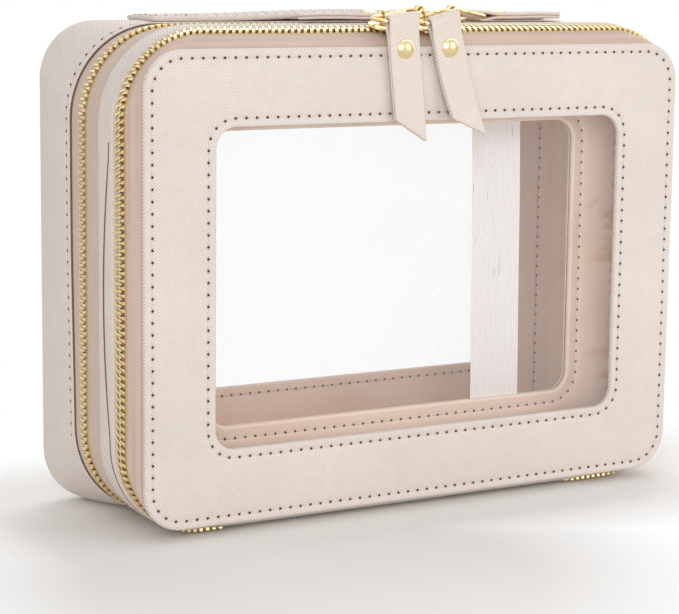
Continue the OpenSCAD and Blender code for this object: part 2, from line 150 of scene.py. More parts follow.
# %% The outlines of this case
CLOTH = 1.0
WINDOW_LAP = 8.0
PANEL = outline_of("front_edge_binding", 14.5)
BODY = outline_of("middle_band", 34.0)
SKIN = grown(BODY, -CLOTH)
LID_WINDOW = grown(outline_of("front_window", 7.5 + WINDOW_LAP), -WINDOW_LAP)
DIVIDER_WINDOW = grown(outline_of("divider_window", 7.5 + WINDOW_LAP), -WINDOW_LAP)
BACK_WINDOW = grown(outline_of("back_window", 7.5 + WINDOW_LAP), -WINDOW_LAP)
DIVIDER_EDGE = outline_of("divider_frame_front", 31.8)
BACK_PANEL = outline_of("back_panel_frame", 14.5)
FLARE_FROM, FLARE_TO, FLARE_EASE = 2.0, 14.0, 2.6
TIGHT_FROM, TIGHT_TO, TIGHTER = 48.5, 73.0, 13.0


def skin(depth, inset=0.0):
    """The outline of the zip tapes' outer face at a depth behind the lid's face, moved in by inset. It
    swells from the lid's panel to the full case, and its corners grow tighter towards the back."""
    way = min(max((depth - FLARE_FROM) / (FLARE_TO - FLARE_FROM), 0), 1)
    half_w, half_h, radius, middle = between(PANEL, SKIN, 1 - (1 - way) ** FLARE_EASE)
    radius -= TIGHTER * min(max((depth - TIGHT_FROM) / (TIGHT_TO - TIGHT_FROM), 0), 1)
    return grown((half_w, half_h, radius, middle), -inset)


def world(x, depth, z):
    return Vector((x, depth + FRONT, z)) * MM


print(f"case {2 * BODY[0]:.1f} x {2 * BODY[1]:.1f} mm, perimeter {sum(legs_of(BODY)):.0f} mm")


# %% [markdown]
# ## Finishing a mesh
#
# Every piece ends the same way: its doubles are merged, its normals point outwards, it is shaded smooth, it
# rides on a body of the frame, stands for the CAD nodes that it covers and wears a material. One function
# does that, so no piece forgets a step.

# %% Turning a bmesh into a piece of the case
MERGE = 1e-6
finishes = {}


def piece(name, bm, finish, body, nodes=(), smooth=True):
    bmesh.ops.remove_doubles(bm, verts=bm.verts, dist=MERGE)
    bmesh.ops.recalc_face_normals(bm, faces=bm.faces)
    mesh = bpy.data.meshes.new(name)
    bm.to_mesh(mesh)
    bm.free()
    mesh.shade_smooth() if smooth else mesh.shade_flat()
    made = bpy.data.objects.new(name, mesh)
    bpy.context.scene.collection.objects.link(made)
    mesh.materials.append(finishes[finish])
    if isinstance(body, str):
        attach(made, body)
    else:
        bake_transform(made)
    if nodes:
        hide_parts(*nodes)
    return made


# %% [markdown]
# ## Materials: one helper, then the finishes
#
# A node material is a little circuit. The helper below adds one node, sets what is fixed on it and plugs in
# what comes from other nodes. Colours are written as the hex values that a picture shows, and one function
# turns them into the linear numbers that the renderer adds up.

# %% The node helper
def linear(hex_colour):
    channels = [int(hex_colour[i:i + 2], 16) / 255 for i in (1, 3, 5)]
    return tuple(c / 12.92 if c <= 0.04045 else ((c + 0.055) / 1.055) ** 2.4 for c in channels) + (1.0,)


def add(tree, kind, inputs=None, **settings):
    """Adds a node. inputs maps a socket to a value, or to the output of another node."""
    node = tree.nodes.new(kind)
    for name, value in settings.items():
        setattr(node, name, value)
    for socket, value in (inputs or {}).items():
        if isinstance(value, bpy.types.NodeSocket):
            tree.links.new(value, node.inputs[socket])
        else:
            node.inputs[socket].default_value = value
    return node


def start(name):
    """A new material with one shader on its output."""
    made = bpy.data.materials.new(name)
    made.use_nodes = True
    made.node_tree.nodes.clear()
    shader = add(made.node_tree, "ShaderNodeBsdfPrincipled")
    add(made.node_tree, "ShaderNodeOutputMaterial", {"Surface": shader.outputs[0]})
    return made, made.node_tree, shader


def wave_scale(period):
    """The Wave texture's scale that gives one band per period, as it draws 20 radians to the unit."""
    return 2 * math.pi / 20 / period


# %% [markdown]
# ### Saffiano-embossed leathercloth
#
# The covers are polyurethane leathercloth. A hot roller presses two sets of fine slanted lines into it, one
# each way, and where the pressure changes one set shows more than the other. The lines are about 0.75 mm
# apart. Two Wave textures turned by 45 degrees make them, and a soft noise decides which set wins. The
# pattern reads the piece's own UV map, which is laid out in millimetres, so it runs round the corners of
# the case as the cloth does.

# %% Leathercloth, for the covers and for the pulls
HATCH = 0.85


def leathercloth(name, colour, groove_shade_colour, depth, turn):
    made, tree, shader = start(name)
    uv = add(tree, "ShaderNodeUVMap", uv_map="cloth")
    hatch = []
    for angle in (turn, turn + 90):
        turned = add(tree, "ShaderNodeMapping", {
            "Vector": uv.outputs[0], "Rotation": (0, 0, math.radians(angle))})
        hatch.append(add(tree, "ShaderNodeTexWave", {
            "Vector": turned.outputs[0], "Scale": wave_scale(HATCH)}))
    patches = add(tree, "ShaderNodeTexNoise", {"Vector": uv.outputs[0], "Scale": 0.11, "Detail": 2.0})
    weight = add(tree, "ShaderNodeMapRange", {
        "Value": patches.outputs[0], "From Min": 0.38, "From Max": 0.62, "To Min": 0.12, "To Max": 0.88})
    height = add(tree, "ShaderNodeMix", {
        "Factor": weight.outputs[0], 2: hatch[0].outputs["Fac"], 3: hatch[1].outputs["Fac"]})
    grain = add(tree, "ShaderNodeTexNoise", {"Vector": uv.outputs[0], "Scale": 2.4, "Detail": 3.0})
    relief = add(tree, "ShaderNodeMix", {
        "Factor": 0.2, 2: height.outputs[0], 3: grain.outputs[0]})
    # The emboss's grooves take the darker colour: painted shade in the grooves.
    groove_shade = add(tree, "ShaderNodeMapRange", {
        "Value": height.outputs[0], "From Min": 0.0, "From Max": 0.6, "To Min": 0.75, "To Max": 0.0})
    cloud = add(tree, "ShaderNodeTexNoise", {"Vector": uv.outputs[0], "Scale": 0.02, "Detail": 2.0})
    shade = add(tree, "ShaderNodeMapRange", {
        "Value": cloud.outputs[0], "From Min": 0.3, "From Max": 0.7, "To Min": 0.965, "To Max": 1.03})
    blend = add(tree, "ShaderNodeMix", {
        "Factor": groove_shade.outputs[0], 6: linear(colour), 7: linear(groove_shade_colour)}, data_type="RGBA")
    toned = add(tree, "ShaderNodeMix", {
        "Factor": 1.0, 6: blend.outputs[2], 7: shade.outputs[0]}, data_type="RGBA", blend_type="MULTIPLY")
    gloss = add(tree, "ShaderNodeMapRange", {
        "Value": relief.outputs[0], "To Min": 0.62, "To Max": 0.46})
    bump = add(tree, "ShaderNodeBump", {
        "Height": relief.outputs[0], "Strength": 1.0, "Distance": depth * MM})
    for socket, output in (("Base Color", toned.outputs[2]), ("Roughness", gloss.outputs[0]),
                           ("Normal", bump.outputs[0])):
        tree.links.new(output, shader.inputs[socket])
    shader.inputs["IOR"].default_value = 1.46
    shader.inputs["Specular IOR Level"].default_value = 0.42
    return made


# The second colour of each leathercloth is painted shade for its embossed grooves.
finishes["leathercloth"] = leathercloth("saffiano leathercloth", "#E5DCD5", "#B9A699", 0.07, 45)
finishes["pull leathercloth"] = leathercloth("saffiano leathercloth pulls", "#E9DDD3", "#BFAA9B", 0.07, 38)

# %% [markdown]
# ### Zip tape
#
# Zip tape is woven polyester in a herringbone: narrow columns, in which the twill leans one way and then
# the other. A column is about 1.6 mm wide and the twill lines in it about 0.45 mm apart. One triangle wave
# across the tape bends the twill lines to and fro.

# %% Woven tape
TWILL_COLUMN, TWILL_LINE = 1.6, 0.45
tape, tree, shader = start("herringbone zip tape")
uv = add(tree, "ShaderNodeUVMap", uv_map="cloth")
axes = add(tree, "ShaderNodeSeparateXYZ", {0: uv.outputs[0]})
zigzag = add(tree, "ShaderNodeMath", {0: axes.outputs["Y"], 1: TWILL_COLUMN}, operation="PINGPONG")
lean = add(tree, "ShaderNodeMath", {0: axes.outputs["X"], 1: zigzag.outputs[0]}, operation="ADD")
line = add(tree, "ShaderNodeCombineXYZ", {"X": lean.outputs[0]})
twill = add(tree, "ShaderNodeTexWave", {"Vector": line.outputs[0], "Scale": wave_scale(TWILL_LINE)})
cloud = add(tree, "ShaderNodeTexNoise", {"Vector": uv.outputs[0], "Scale": 0.05, "Detail": 2.0})
shade = add(tree, "ShaderNodeMapRange", {
    "Value": cloud.outputs[0], "From Min": 0.3, "From Max": 0.7, "To Min": 0.0, "To Max": 0.35})
cloth = add(tree, "ShaderNodeMix", {
    "Factor": shade.outputs[0], 6: linear("#DCC7B9"), 7: linear("#CFB6A5")}, data_type="RGBA")
# The twill's low lines are mixed towards a darker brown: painted shade between the threads.
twill_valley_shade = add(tree, "ShaderNodeMapRange", {
    "Value": twill.outputs["Fac"], "From Max": 0.7, "To Min": 0.5, "To Max": 0.0})
woven = add(tree, "ShaderNodeMix", {
    "Factor": twill_valley_shade.outputs[0], 6: cloth.outputs[2], 7: linear("#A98873")}, data_type="RGBA")
bump = add(tree, "ShaderNodeBump", {"Height": twill.outputs["Fac"], "Distance": 0.05 * MM})
tree.links.new(woven.outputs[2], shader.inputs["Base Color"])
tree.links.new(bump.outputs[0], shader.inputs["Normal"])
shader.inputs["Roughness"].default_value = 0.8
shader.inputs["Sheen Weight"].default_value = 0.15
finishes["zip tape"] = tape

# %% [markdown]
# ### Lining, elastic and thread
#
# The lining is a thinner leathercloth with a faint pebble. The elastic is knitted over rubber cords, whose
# ribs are real shape in the mesh, so its material only adds the fine cross ribs, as bumps with painted shade
# in their valleys. The thread is a twisted polyester: a slanted wave along it gives the twist, drawn as
# lighter and darker bands, the darker ones painted shade between the plies.

# %% Lining cloth
lining, tree, shader = start("smooth leathercloth lining")
uv = add(tree, "ShaderNodeUVMap", uv_map="cloth")
pebble = add(tree, "ShaderNodeTexVoronoi", {"Vector": uv.outputs[0], "Scale": 1.3})
cloud = add(tree, "ShaderNodeTexNoise", {"Vector": uv.outputs[0], "Scale": 0.03, "Detail": 3.0})
shade = add(tree, "ShaderNodeMapRange", {"Value": cloud.outputs[0], "From Min": 0.3, "From Max": 0.7})
tone = add(tree, "ShaderNodeMix", {
    "Factor": shade.outputs[0], 6: linear("#F6E0D0"), 7: linear("#EED3C0")}, data_type="RGBA")
bump = add(tree, "ShaderNodeBump", {"Height": pebble.outputs["Distance"], "Distance": 0.03 * MM})
tree.links.new(tone.outputs[2], shader.inputs["Base Color"])
tree.links.new(bump.outputs[0], shader.inputs["Normal"])
shader.inputs["Roughness"].default_value = 0.55
finishes["lining"] = lining

# %% Elastic
CROSS_RIB = 0.6
elastic, tree, shader = start("ribbed knitted elastic")
uv = add(tree, "ShaderNodeUVMap", uv_map="cloth")
rib = add(tree, "ShaderNodeTexWave", {
    "Vector": uv.outputs[0], "Scale": wave_scale(CROSS_RIB)})
# The colour is a little darker in the valleys between the cross ribs: painted shade.
tone = add(tree, "ShaderNodeMix", {
    "Factor": rib.outputs["Fac"], 6: linear("#E7E1DF"), 7: linear("#EDE8E6")}, data_type="RGBA")
bump = add(tree, "ShaderNodeBump", {"Height": rib.outputs["Fac"], "Distance": 0.012 * MM})
tree.links.new(tone.outputs[2], shader.inputs["Base Color"])
tree.links.new(bump.outputs[0], shader.inputs["Normal"])
shader.inputs["Roughness"].default_value = 0.85
shader.inputs["Sheen Weight"].default_value = 0.2
finishes["elastic"] = elastic

# %% Thread, and the painted shade in the needle holes
TWIST = 0.5
thread, tree, shader = start("twisted polyester thread")
place = add(tree, "ShaderNodeTexCoord")
turned = add(tree, "ShaderNodeMapping", {
    "Vector": place.outputs["Object"], "Rotation": (0, math.radians(35), math.radians(35))})
twist = add(tree, "ShaderNodeTexWave", {"Vector": turned.outputs[0], "Scale": wave_scale(TWIST * MM)})
# The darker bands along the twist are painted shade between the plies.
tone = add(tree, "ShaderNodeMix", {
    "Factor": twist.outputs["Fac"], 6: linear("#D5C5B9"), 7: linear("#E9DED4")}, data_type="RGBA")
tree.links.new(tone.outputs[2], shader.inputs["Base Color"])
shader.inputs["Roughness"].default_value = 0.6
shader.inputs["Sheen Weight"].default_value = 0.1
finishes["thread"] = thread

# Each needle hole is a small dark brown cone at the cloth's face: painted shade in the hole, mottled.
hole_shadow, tree, shader = start("needle hole shadow")
place = add(tree, "ShaderNodeTexCoord")
shadow_mottle = add(tree, "ShaderNodeTexNoise", {"Vector": place.outputs["Object"], "Scale": 0.3 / MM})
tone = add(tree, "ShaderNodeMix", {
    "Factor": shadow_mottle.outputs[0], 6: linear("#35261E"), 7: linear("#624B3D")}, data_type="RGBA")
tree.links.new(tone.outputs[2], shader.inputs["Base Color"])
shader.inputs["Roughness"].default_value = 0.9
finishes["needle hole"] = hole_shadow

# %% [markdown]
# Where the cloth is cut, its edge is painted dark brown. A thin dark brown line along the front edge of the
# gusset is partly that edge paint and partly painted shadow of the gap beside the tape. The same material
# lies in the fold down each side of the middle band, where it is painted shade in the crease.

# %% Edge paint, and painted shade
edge_paint_and_shade, tree, shader = start("dark brown edge paint and shade")
place = add(tree, "ShaderNodeTexCoord")
paint_and_shade_mottle = add(tree, "ShaderNodeTexNoise", {"Vector": place.outputs["Object"], "Scale": 0.08 / MM, "Detail": 2.0})
tone = add(tree, "ShaderNodeMix", {
    "Factor": paint_and_shade_mottle.outputs[0], 6: linear("#54382C"), 7: linear("#7C5A4B")}, data_type="RGBA")
tree.links.new(tone.outputs[2], shader.inputs["Base Color"])
shader.inputs["Roughness"].default_value = 0.6
finishes["edge paint and shade"] = edge_paint_and_shade

# %% [markdown]
# ### Clear vinyl
#
# The windows are soft PVC film. Looking straight through, nearly nothing of it shows. At a glancing angle
# it mirrors the room, as every smooth plastic does. An opacity that grows with a Fresnel curve gives both,
# and a slow noise bends the gloss as the slack film does. The Light Path node makes the film clearer still
# for light on its way into the case, which a solid glass would leave in dark shadow.

# %% Clear vinyl film
vinyl, tree, shader = start("clear vinyl film")
place = add(tree, "ShaderNodeTexCoord")
slack = add(tree, "ShaderNodeTexNoise", {
    "Vector": place.outputs["Object"], "Scale": 0.008 / MM, "Detail": 0.0})
bump = add(tree, "ShaderNodeBump", {"Height": slack.outputs[0], "Strength": 0.5, "Distance": 0.1 * MM})
rim = add(tree, "ShaderNodeFresnel", {"IOR": 1.5, "Normal": bump.outputs[0]})
cover = add(tree, "ShaderNodeMapRange", {
    "Value": rim.outputs[0], "From Min": 0.03, "From Max": 0.5, "To Min": 0.01, "To Max": 0.35})
rays = add(tree, "ShaderNodeLightPath")
share = add(tree, "ShaderNodeMapRange", {"Value": rays.outputs["Is Camera Ray"], "To Min": 0.2, "To Max": 1.0})
opacity = add(tree, "ShaderNodeMath", {0: cover.outputs[0], 1: share.outputs[0]}, operation="MULTIPLY")
tree.links.new(opacity.outputs[0], shader.inputs["Alpha"])
tree.links.new(bump.outputs[0], shader.inputs["Normal"])
shader.inputs["Base Color"].default_value = linear("#F4F4F6")
shader.inputs["Roughness"].default_value = 0.3
shader.inputs["IOR"].default_value = 1.53
finishes["vinyl"] = vinyl

# %% [markdown]
# ### Pale gold brass
#
# The teeth, sliders, rings and rivets are brass with a thin pale gold plating. The teeth are stamped and
# tumbled, so they are a little duller than the hardware, which is polished. Fine scratches and finger marks
# only change the roughness.

# %% Plated brass
def plated_brass(name, colour, worn_colour, roughness):
    made, tree, shader = start(name)
    place = add(tree, "ShaderNodeTexCoord")
    marks = add(tree, "ShaderNodeTexNoise", {
        "Vector": place.outputs["Object"], "Scale": 0.4 / MM, "Detail": 4.0})
    gloss = add(tree, "ShaderNodeMapRange", {
        "Value": marks.outputs[0], "From Min": 0.3, "From Max": 0.7,
        "To Min": roughness * 0.75, "To Max": roughness * 1.35})
    tone = add(tree, "ShaderNodeMix", {
        "Factor": marks.outputs[0], 6: linear(colour), 7: linear(worn_colour)}, data_type="RGBA")
    tree.links.new(gloss.outputs[0], shader.inputs["Roughness"])
    tree.links.new(tone.outputs[2], shader.inputs["Base Color"])
    shader.inputs["Metallic"].default_value = 1.0
    return made


finishes["brass teeth"] = plated_brass("tumbled gold-plated brass", "#F6E7BB", "#E3CD94", 0.26)
finishes["brass hardware"] = plated_brass("polished gold-plated brass", "#F3E0B4", "#E2C793", 0.2)
print(f"{len(finishes)} finishes")


# %% [markdown]
# ## Cloth that follows an outline
#
# All the covers are sheets of cloth that run round the case. Each starts as a flat bmesh grid: its columns
# become places along the outline and its rows walk round the cross-section, out on one face and back on the
# other. Wrapping the grid and merging its edges closes it into a solid sheet with soft, turned edges. The
# grid's UV map is then laid out in real millimetres.

# %% Cross-sections and the wrapping function
def eased(points, steps):
    """A smooth line through a few points of a cross-section."""
    line = []
    for i in range(len(points) - 1):
        before, here = Vector(points[max(i - 1, 0)]), Vector(points[i])
        there, after = Vector(points[i + 1]), Vector(points[min(i + 2, len(points) - 1)])
        for k in range(steps):
            t = k / steps
            line.append(tuple(0.5 * (2 * here + (there - before) * t
                                     + (2 * before - 5 * here + 4 * there - after) * t ** 2
                                     + (3 * here - before - 3 * there + after) * t ** 3)))
    return line + [tuple(points[-1])]


def sheet_section(points, thickness, side=1):
    """The closed cross-section of a sheet: its outer points, a round edge, its inner points and a round
    edge. side says on which side of the outer line the sheet lies."""
    outer = [Vector(p) for p in points]
    run = [(outer[min(i + 1, len(outer) - 1)] - outer[max(i - 1, 0)]).normalized() for i in range(len(outer))]
    inner = [p + side * thickness * Vector((t.y, -t.x)) for p, t in zip(outer, run)]
    loop = list(outer)
    for near, far, forward in ((outer[-1], inner[-1], run[-1]), (inner[0], outer[0], -run[0])):
        middle = (near + far) / 2
        for angle in (45, 90, 135):
            turn = math.radians(angle)
            loop.append(middle + (near - middle) * math.cos(turn)
                        + forward * (thickness / 2) * math.sin(turn))
        if near is outer[-1]:
            loop += inner[::-1]
    return loop


def wrapped(rows, shares, ring=True, dent=None, level=False):
    """A closed sheet. rows are (outline, depth) round its cross-section, shares its columns. dent may move
    a point: it gets the row's number and the share, and returns how far in and how far back. level lays
    the cloth's pattern straight across, as on a flat panel."""
    columns = list(shares) + ([shares[0]] if ring else [])
    wide = len(columns)
    bm = bmesh.new()
    uv = bm.loops.layers.uv.new("cloth")
    bmesh.ops.create_grid(bm, x_segments=wide - 1, y_segments=len(rows), size=1.0)
    bm.verts.ensure_lookup_table()
    across = [0.0]
    for (a, depth_a), (b, depth_b) in zip(rows, rows[1:] + rows[:1]):
        across.append(across[-1] + math.hypot(b[0] - a[0], depth_b - depth_a))
    along = [0.0]
    first = grown(rows[0][0], 0)
    for i in range(1, wide):
        (x0, z0), _ = spot(first, columns[i - 1])
        (x1, z1), _ = spot(first, columns[i])
        along.append(along[-1] + math.hypot(x1 - x0, z1 - z0))
    for row in range(len(rows) + 1):
        outline, depth = rows[row % len(rows)]
        for column, share in enumerate(columns):
            (x, z), (out_x, out_z) = spot(outline, share)
            inward, back = dent(row % len(rows), share) if dent else (0.0, 0.0)
            bm.verts[row * wide + column].co = world(x - out_x * inward, depth + back, z - out_z * inward)
    for face in bm.faces:
        for loop in face.loops:
            row, column = divmod(loop.vert.index, wide)
            at = loop.vert.co / MM
            loop[uv].uv = (at.x, at.z) if level else (along[column], across[row])
    bmesh.ops.remove_doubles(bm, verts=bm.verts, dist=MERGE)
    if not ring:
        bmesh.ops.holes_fill(bm, edges=[e for e in bm.edges if e.is_boundary])
    return bm


def around(points, thickness, steps=3, side=1):
    """The rows of a wall: its cross-section is given as (inset, depth) on the case's skin."""
    section = sheet_section(eased(points, steps), thickness, side)
    return [(skin(p[1], p[0]), p[1]) for p in section]


def spread(start, end, per_leg=(8, 14)):
    """Columns from one share to another: so many for a straight stretch, so many for a corner."""
    shares = [start]
    leg = math.floor(start)
    while leg < end:
        count = per_leg[1] if leg % LEGS % 2 else per_leg[0]
        shares += [leg + k / count for k in range(count) if start + 0.02 < leg + k / count < end - 0.02]
        leg += 1
    return shares + [end]


def whole_ring(pitch):
    return stations(SKIN, pitch, phase=0.0)


# %% [markdown]
# ## The lid's cover
#
# The lid is a leathercloth frame round the window. Its edges are turned over and stitched down, so the
# cloth dips along each seam, swells a little between the seams and rounds over at both edges. Its
# cross-section is drawn once, from the window's edge to the panel's edge, and the columns stand close
# enough together for every needle hole to pull its own small dimple.

# %% Frame sections between two outlines
STITCH = 4.15
SEAM_IN = 3.1
HOLD = 8.0


def frame_outline(window, edge, reach):
    """The outline that lies a distance outside the window: parallel to the window near it, parallel to the
    panel's edge near that, and in between from one to the other."""
    width = edge[0] - window[0]
    if reach <= HOLD:
        return grown(window, reach)
    if reach >= width - HOLD:
        return grown(edge, reach - width)
    near, far = grown(window, HOLD), grown(edge, -HOLD)
    return between(near, far, (reach - HOLD) / (width - 2 * HOLD))


def framed(window, edge, points, thickness, steps=3, side=-1):
    section = sheet_section(eased(points, steps), thickness, side)
    return [(frame_outline(window, edge, p[0]), p[1]) for p in section]


def puckers(rows, seams, toward=1.0):
    """Dimples at the needle holes of seams that run along an outline: (outline, depth of the dimple)."""
    holes = [(outline, amount, round(sum(legs_of(outline)) / STITCH)) for outline, amount in seams]

    def dent(row, share):
        back = 0.0
        for outline, amount, count in holes:
            off = abs(rows[row][0][0] - outline[0])
            if off < 1.6:
                leg = int(share % LEGS)
                lengths = legs_of(outline)
                distance = sum(lengths[:leg]) + lengths[leg] * (share % LEGS - leg)
                wave = math.cos(2 * math.pi * (distance / sum(lengths) * count - 0.5))
                back += amount * wave * (1 - off / 1.6)
        return 0.0, toward * back

    return dent


LID_WIDE = PANEL[0] - LID_WINDOW[0]
LID_SEAM, LID_WINDOW_SEAM = grown(PANEL, -SEAM_IN), grown(LID_WINDOW, SEAM_IN)
lid_profile = [
    (0.0, 1.5), (0.0, 0.75), (0.2, 0.25), (0.75, -0.02), (1.9, 0.0), (SEAM_IN, 0.4), (4.4, 0.0), (7.5, -0.25),
    (13.7, -0.4), (LID_WIDE - 7.5, -0.3), (LID_WIDE - 4.5, -0.02), (LID_WIDE - SEAM_IN, 0.42),
    (LID_WIDE - 1.9, 0.0), (LID_WIDE - 0.9, 0.0), (LID_WIDE - 0.25, 0.35), (LID_WIDE, 0.95), (LID_WIDE, 1.9),
]
lid_rows = framed(LID_WINDOW, PANEL, lid_profile, 0.9, steps=2)
dense = whole_ring(STITCH / 4)
lid_cover = piece(
    "lid_cover",
    wrapped(lid_rows, dense, dent=puckers(lid_rows, [(LID_SEAM, 0.14), (LID_WINDOW_SEAM, 0.14)]),
            level=True),
    "leathercloth", "front_lid", ("front_panel_frame", "front_edge_binding"))
print(f"lid cover: {len(lid_cover.data.polygons)} faces")

# %% [markdown]
# Behind the cover lies the lid's lining, which hides the board and the rim of the vinyl. It shows when the
# lid is open, and from behind through the other windows.

# %% The lid's lining
lid_back_profile = [(0.4, 1.75), (1.0, 2.0), (SEAM_IN, 1.85), (6.0, 2.05), (14.0, 2.1), (LID_WIDE - 1.3, 2.0)]
piece("lid_lining", wrapped(framed(LID_WINDOW, PANEL, lid_back_profile, 0.4, side=1), spread(0, 8.99)),
      "lining", "front_lid", ("front_frame_lining", "front_frame_board"))


# %% [markdown]
# ## Clear sheets
#
# A window is a rectangle of film, larger than its opening and caught behind the frame. Film that is sewn in
# is never quite flat. A grid is pushed in and out by a slow noise and given its thickness with the solidify
# operator.

# %% Three windows
def film(name, window, depth, thickness, body, node, seed):
    reach = WINDOW_LAP - 2
    bm = bmesh.new()
    bmesh.ops.create_grid(bm, x_segments=44, y_segments=30, size=1.0)
    for v in bm.verts:
        x, z = v.co.x * (window[0] + reach), v.co.y * (window[1] + reach)
        held = max(0, 1 - max(abs(x) / window[0], abs(z) / window[1]) ** 4)
        slack = 0.5 * held * noise.noise(Vector((x * 0.018, z * 0.018, seed)))
        v.co = world(x, depth + slack, window[3] + z)
    bmesh.ops.solidify(bm, geom=bm.faces, thickness=thickness * MM)
    return piece(name, bm, "vinyl", body, (node,))


film("lid_window", LID_WINDOW, 1.1, 0.4, "front_lid", "front_window", 1.0)
film("divider_window_film", DIVIDER_WINDOW, 21.15, 0.3, "middle_section", "divider_window", 5.0)
film("back_window_film", BACK_WINDOW, 78.5, 0.4, "back_body", "back_window", 9.0)


# %% [markdown]
# ## Zip tapes
#
# Each zip runs from the left of the bottom, round the case and back to the right of the bottom. Its tapes
# are narrow walls on the skin of the case.

# %% Tapes
ZIP_LEFT, ZIP_RIGHT = 79.0, 71.0
ZIP_FROM = share_at(SKIN, ZIP_LEFT)
ZIP_TO = share_at(SKIN, sum(legs_of(SKIN)) - ZIP_RIGHT)
CLEAR_LEFT, CLEAR_RIGHT = 1.4, 7.6
TAPE = 0.6
FRONT_ZIP, REAR_ZIP = 8.8, 38.5
HINGE_FOOT = world(0, 2, PANEL[3] - PANEL[1])
HINGE_TOP = world(0, 2, spot(skin(FRONT_ZIP), CLEAR_LEFT)[0][1])
BENDING = ("middle_section", "front_lid", HINGE_FOOT, HINGE_TOP)

lid_tape = [(3.0, 2.35), (1.2, 2.35), (0.35, 2.5), (0.0, 3.0), (0.0, 4.6), (0.2, 6.0), (0.35, 7.5)]
piece("lid_zip_tape", wrapped(around(lid_tape, TAPE), spread(CLEAR_LEFT, CLEAR_RIGHT), ring=False),
      "zip tape", "front_lid", ("front_zip_tape_lid",))
end_tape = lid_tape[2:]
for side, first, last in (("left", ZIP_FROM, CLEAR_LEFT), ("right", CLEAR_RIGHT, ZIP_TO)):
    piece(f"lid_zip_tape_end_{side}", wrapped(around(end_tape, TAPE), spread(first, last), ring=False),
          "zip tape", BENDING, (f"front_zip_end_{side}",))

front_inner_tape = [(0.35, 10.1), (0.2, 11.6), (0.0, 12.4), (-0.1, 12.9), (0.0, 15.0)]
piece("front_inner_zip_tape",
      wrapped(around(front_inner_tape, TAPE), spread(ZIP_FROM, ZIP_TO), ring=False),
      "zip tape", "middle_section", ("front_zip_tape_middle",))
rear_inner_tape = [(0.0, 22.2), (0.0, 25.0), (-0.45, 28.0), (-0.3, 31.5), (0.1, 34.3), (0.2, 35.7),
                   (0.35, 37.2)]
piece("rear_inner_zip_tape",
      wrapped(around(rear_inner_tape, TAPE), spread(ZIP_FROM, ZIP_TO), ring=False),
      "zip tape", "middle_section", ("rear_zip_tape_middle",))
rear_outer_tape = [(0.35, 39.8), (0.2, 41.3), (0.0, 42.3), (-0.2, 44.5), (0.0, 46.8), (0.1, 50.5)]
piece("rear_outer_zip_tape",
      wrapped(around(rear_outer_tape, TAPE), spread(ZIP_FROM, ZIP_TO), ring=False),
      "zip tape", "back_body", ("rear_zip_tape_back",))


# %% [markdown]
# ## Teeth
#
# A metal zip tooth is a stamped bar: two legs clamped on the tape's corded edge, a narrower neck, and a
# head that reaches past the middle between two teeth of the other side. One tooth is made from a cube: cuts
# across it let the neck and the head be shaped, and a bevel softens it. It is then set down once for each
# pitch of 2.54 mm, the other row half a pitch later and turned about.

# %% One tooth
PITCH = 2.54
TOOTH_LENGTH, TOOTH_REACH = 3.15, 0.65
TOOTH_LOW, TOOTH_HIGH = -1.1, 0.95


def tooth_mesh():
    bm = bmesh.new()
    bmesh.ops.create_cube(bm, size=1.0)
    lengthwise = [e for e in bm.edges if abs(e.verts[0].co.y - e.verts[1].co.y) > 0.5]
    bmesh.ops.subdivide_edges(bm, edges=lengthwise, cuts=3)
    widths = (1.35, 1.3, 0.95, 1.3, 1.0)
    heights = (0.72, 0.95, 0.9, 1.0, 0.62)
    for v in bm.verts:
        k = round((v.co.y + 0.5) * 4)
        low_high = TOOTH_HIGH if v.co.z > 0 else TOOTH_LOW
        v.co = Vector((v.co.x * widths[k], TOOTH_REACH - TOOTH_LENGTH * (1 - k / 4), low_high * heights[k]))
    lengthwise = [e for e in bm.edges if abs(e.verts[0].co.x - e.verts[1].co.x) < 0.3
                  and abs(e.verts[0].co.z - e.verts[1].co.z) < 0.6]
    bmesh.ops.bevel(bm, geom=lengthwise, offset=0.2, segments=1, profile=0.5, affect="EDGES", material=-1)
    bmesh.ops.scale(bm, vec=(MM, MM, MM), verts=bm.verts)
    mesh = bpy.data.meshes.new("tooth")
    bm.to_mesh(mesh)
    bm.free()
    return mesh


def skin_frame(depth, share, inset=0.0, toward=1.0):
    """A place on the case's skin: X along the zip, Y across it towards the back, Z outwards."""
    (x, z), (out_x, out_z) = spot(skin(depth, inset), share)
    (x2, z2), _ = spot(skin(depth + 0.5, inset), share)
    across = (world(x2, depth + 0.5, z2) - world(x, depth, z)).normalized() * toward
    along = Vector((out_z, 0, -out_x)) * toward
    out = along.cross(across).normalized()
    turned = Matrix((along, across, out)).transposed().to_4x4()
    return Matrix.Translation(world(x, depth, z)) @ turned


def repeated(template, places):
    bm = bmesh.new()
    for place in places:
        copy = template.copy()
        copy.transform(place)
        bm.from_mesh(copy)
        bpy.data.meshes.remove(copy)
    return bm


# %% Four rows of teeth
tooth = tooth_mesh()


def tooth_row(zip_depth, start, end, toward, phase):
    path = skin(zip_depth)
    first, last = start, end
    count = round((last - first) / PITCH)
    places = []
    for i in range(count):
        share = share_at(path, first + (i + phase) * (last - first) / count)
        places.append((share, skin_frame(zip_depth, share, toward=toward)))
    return places


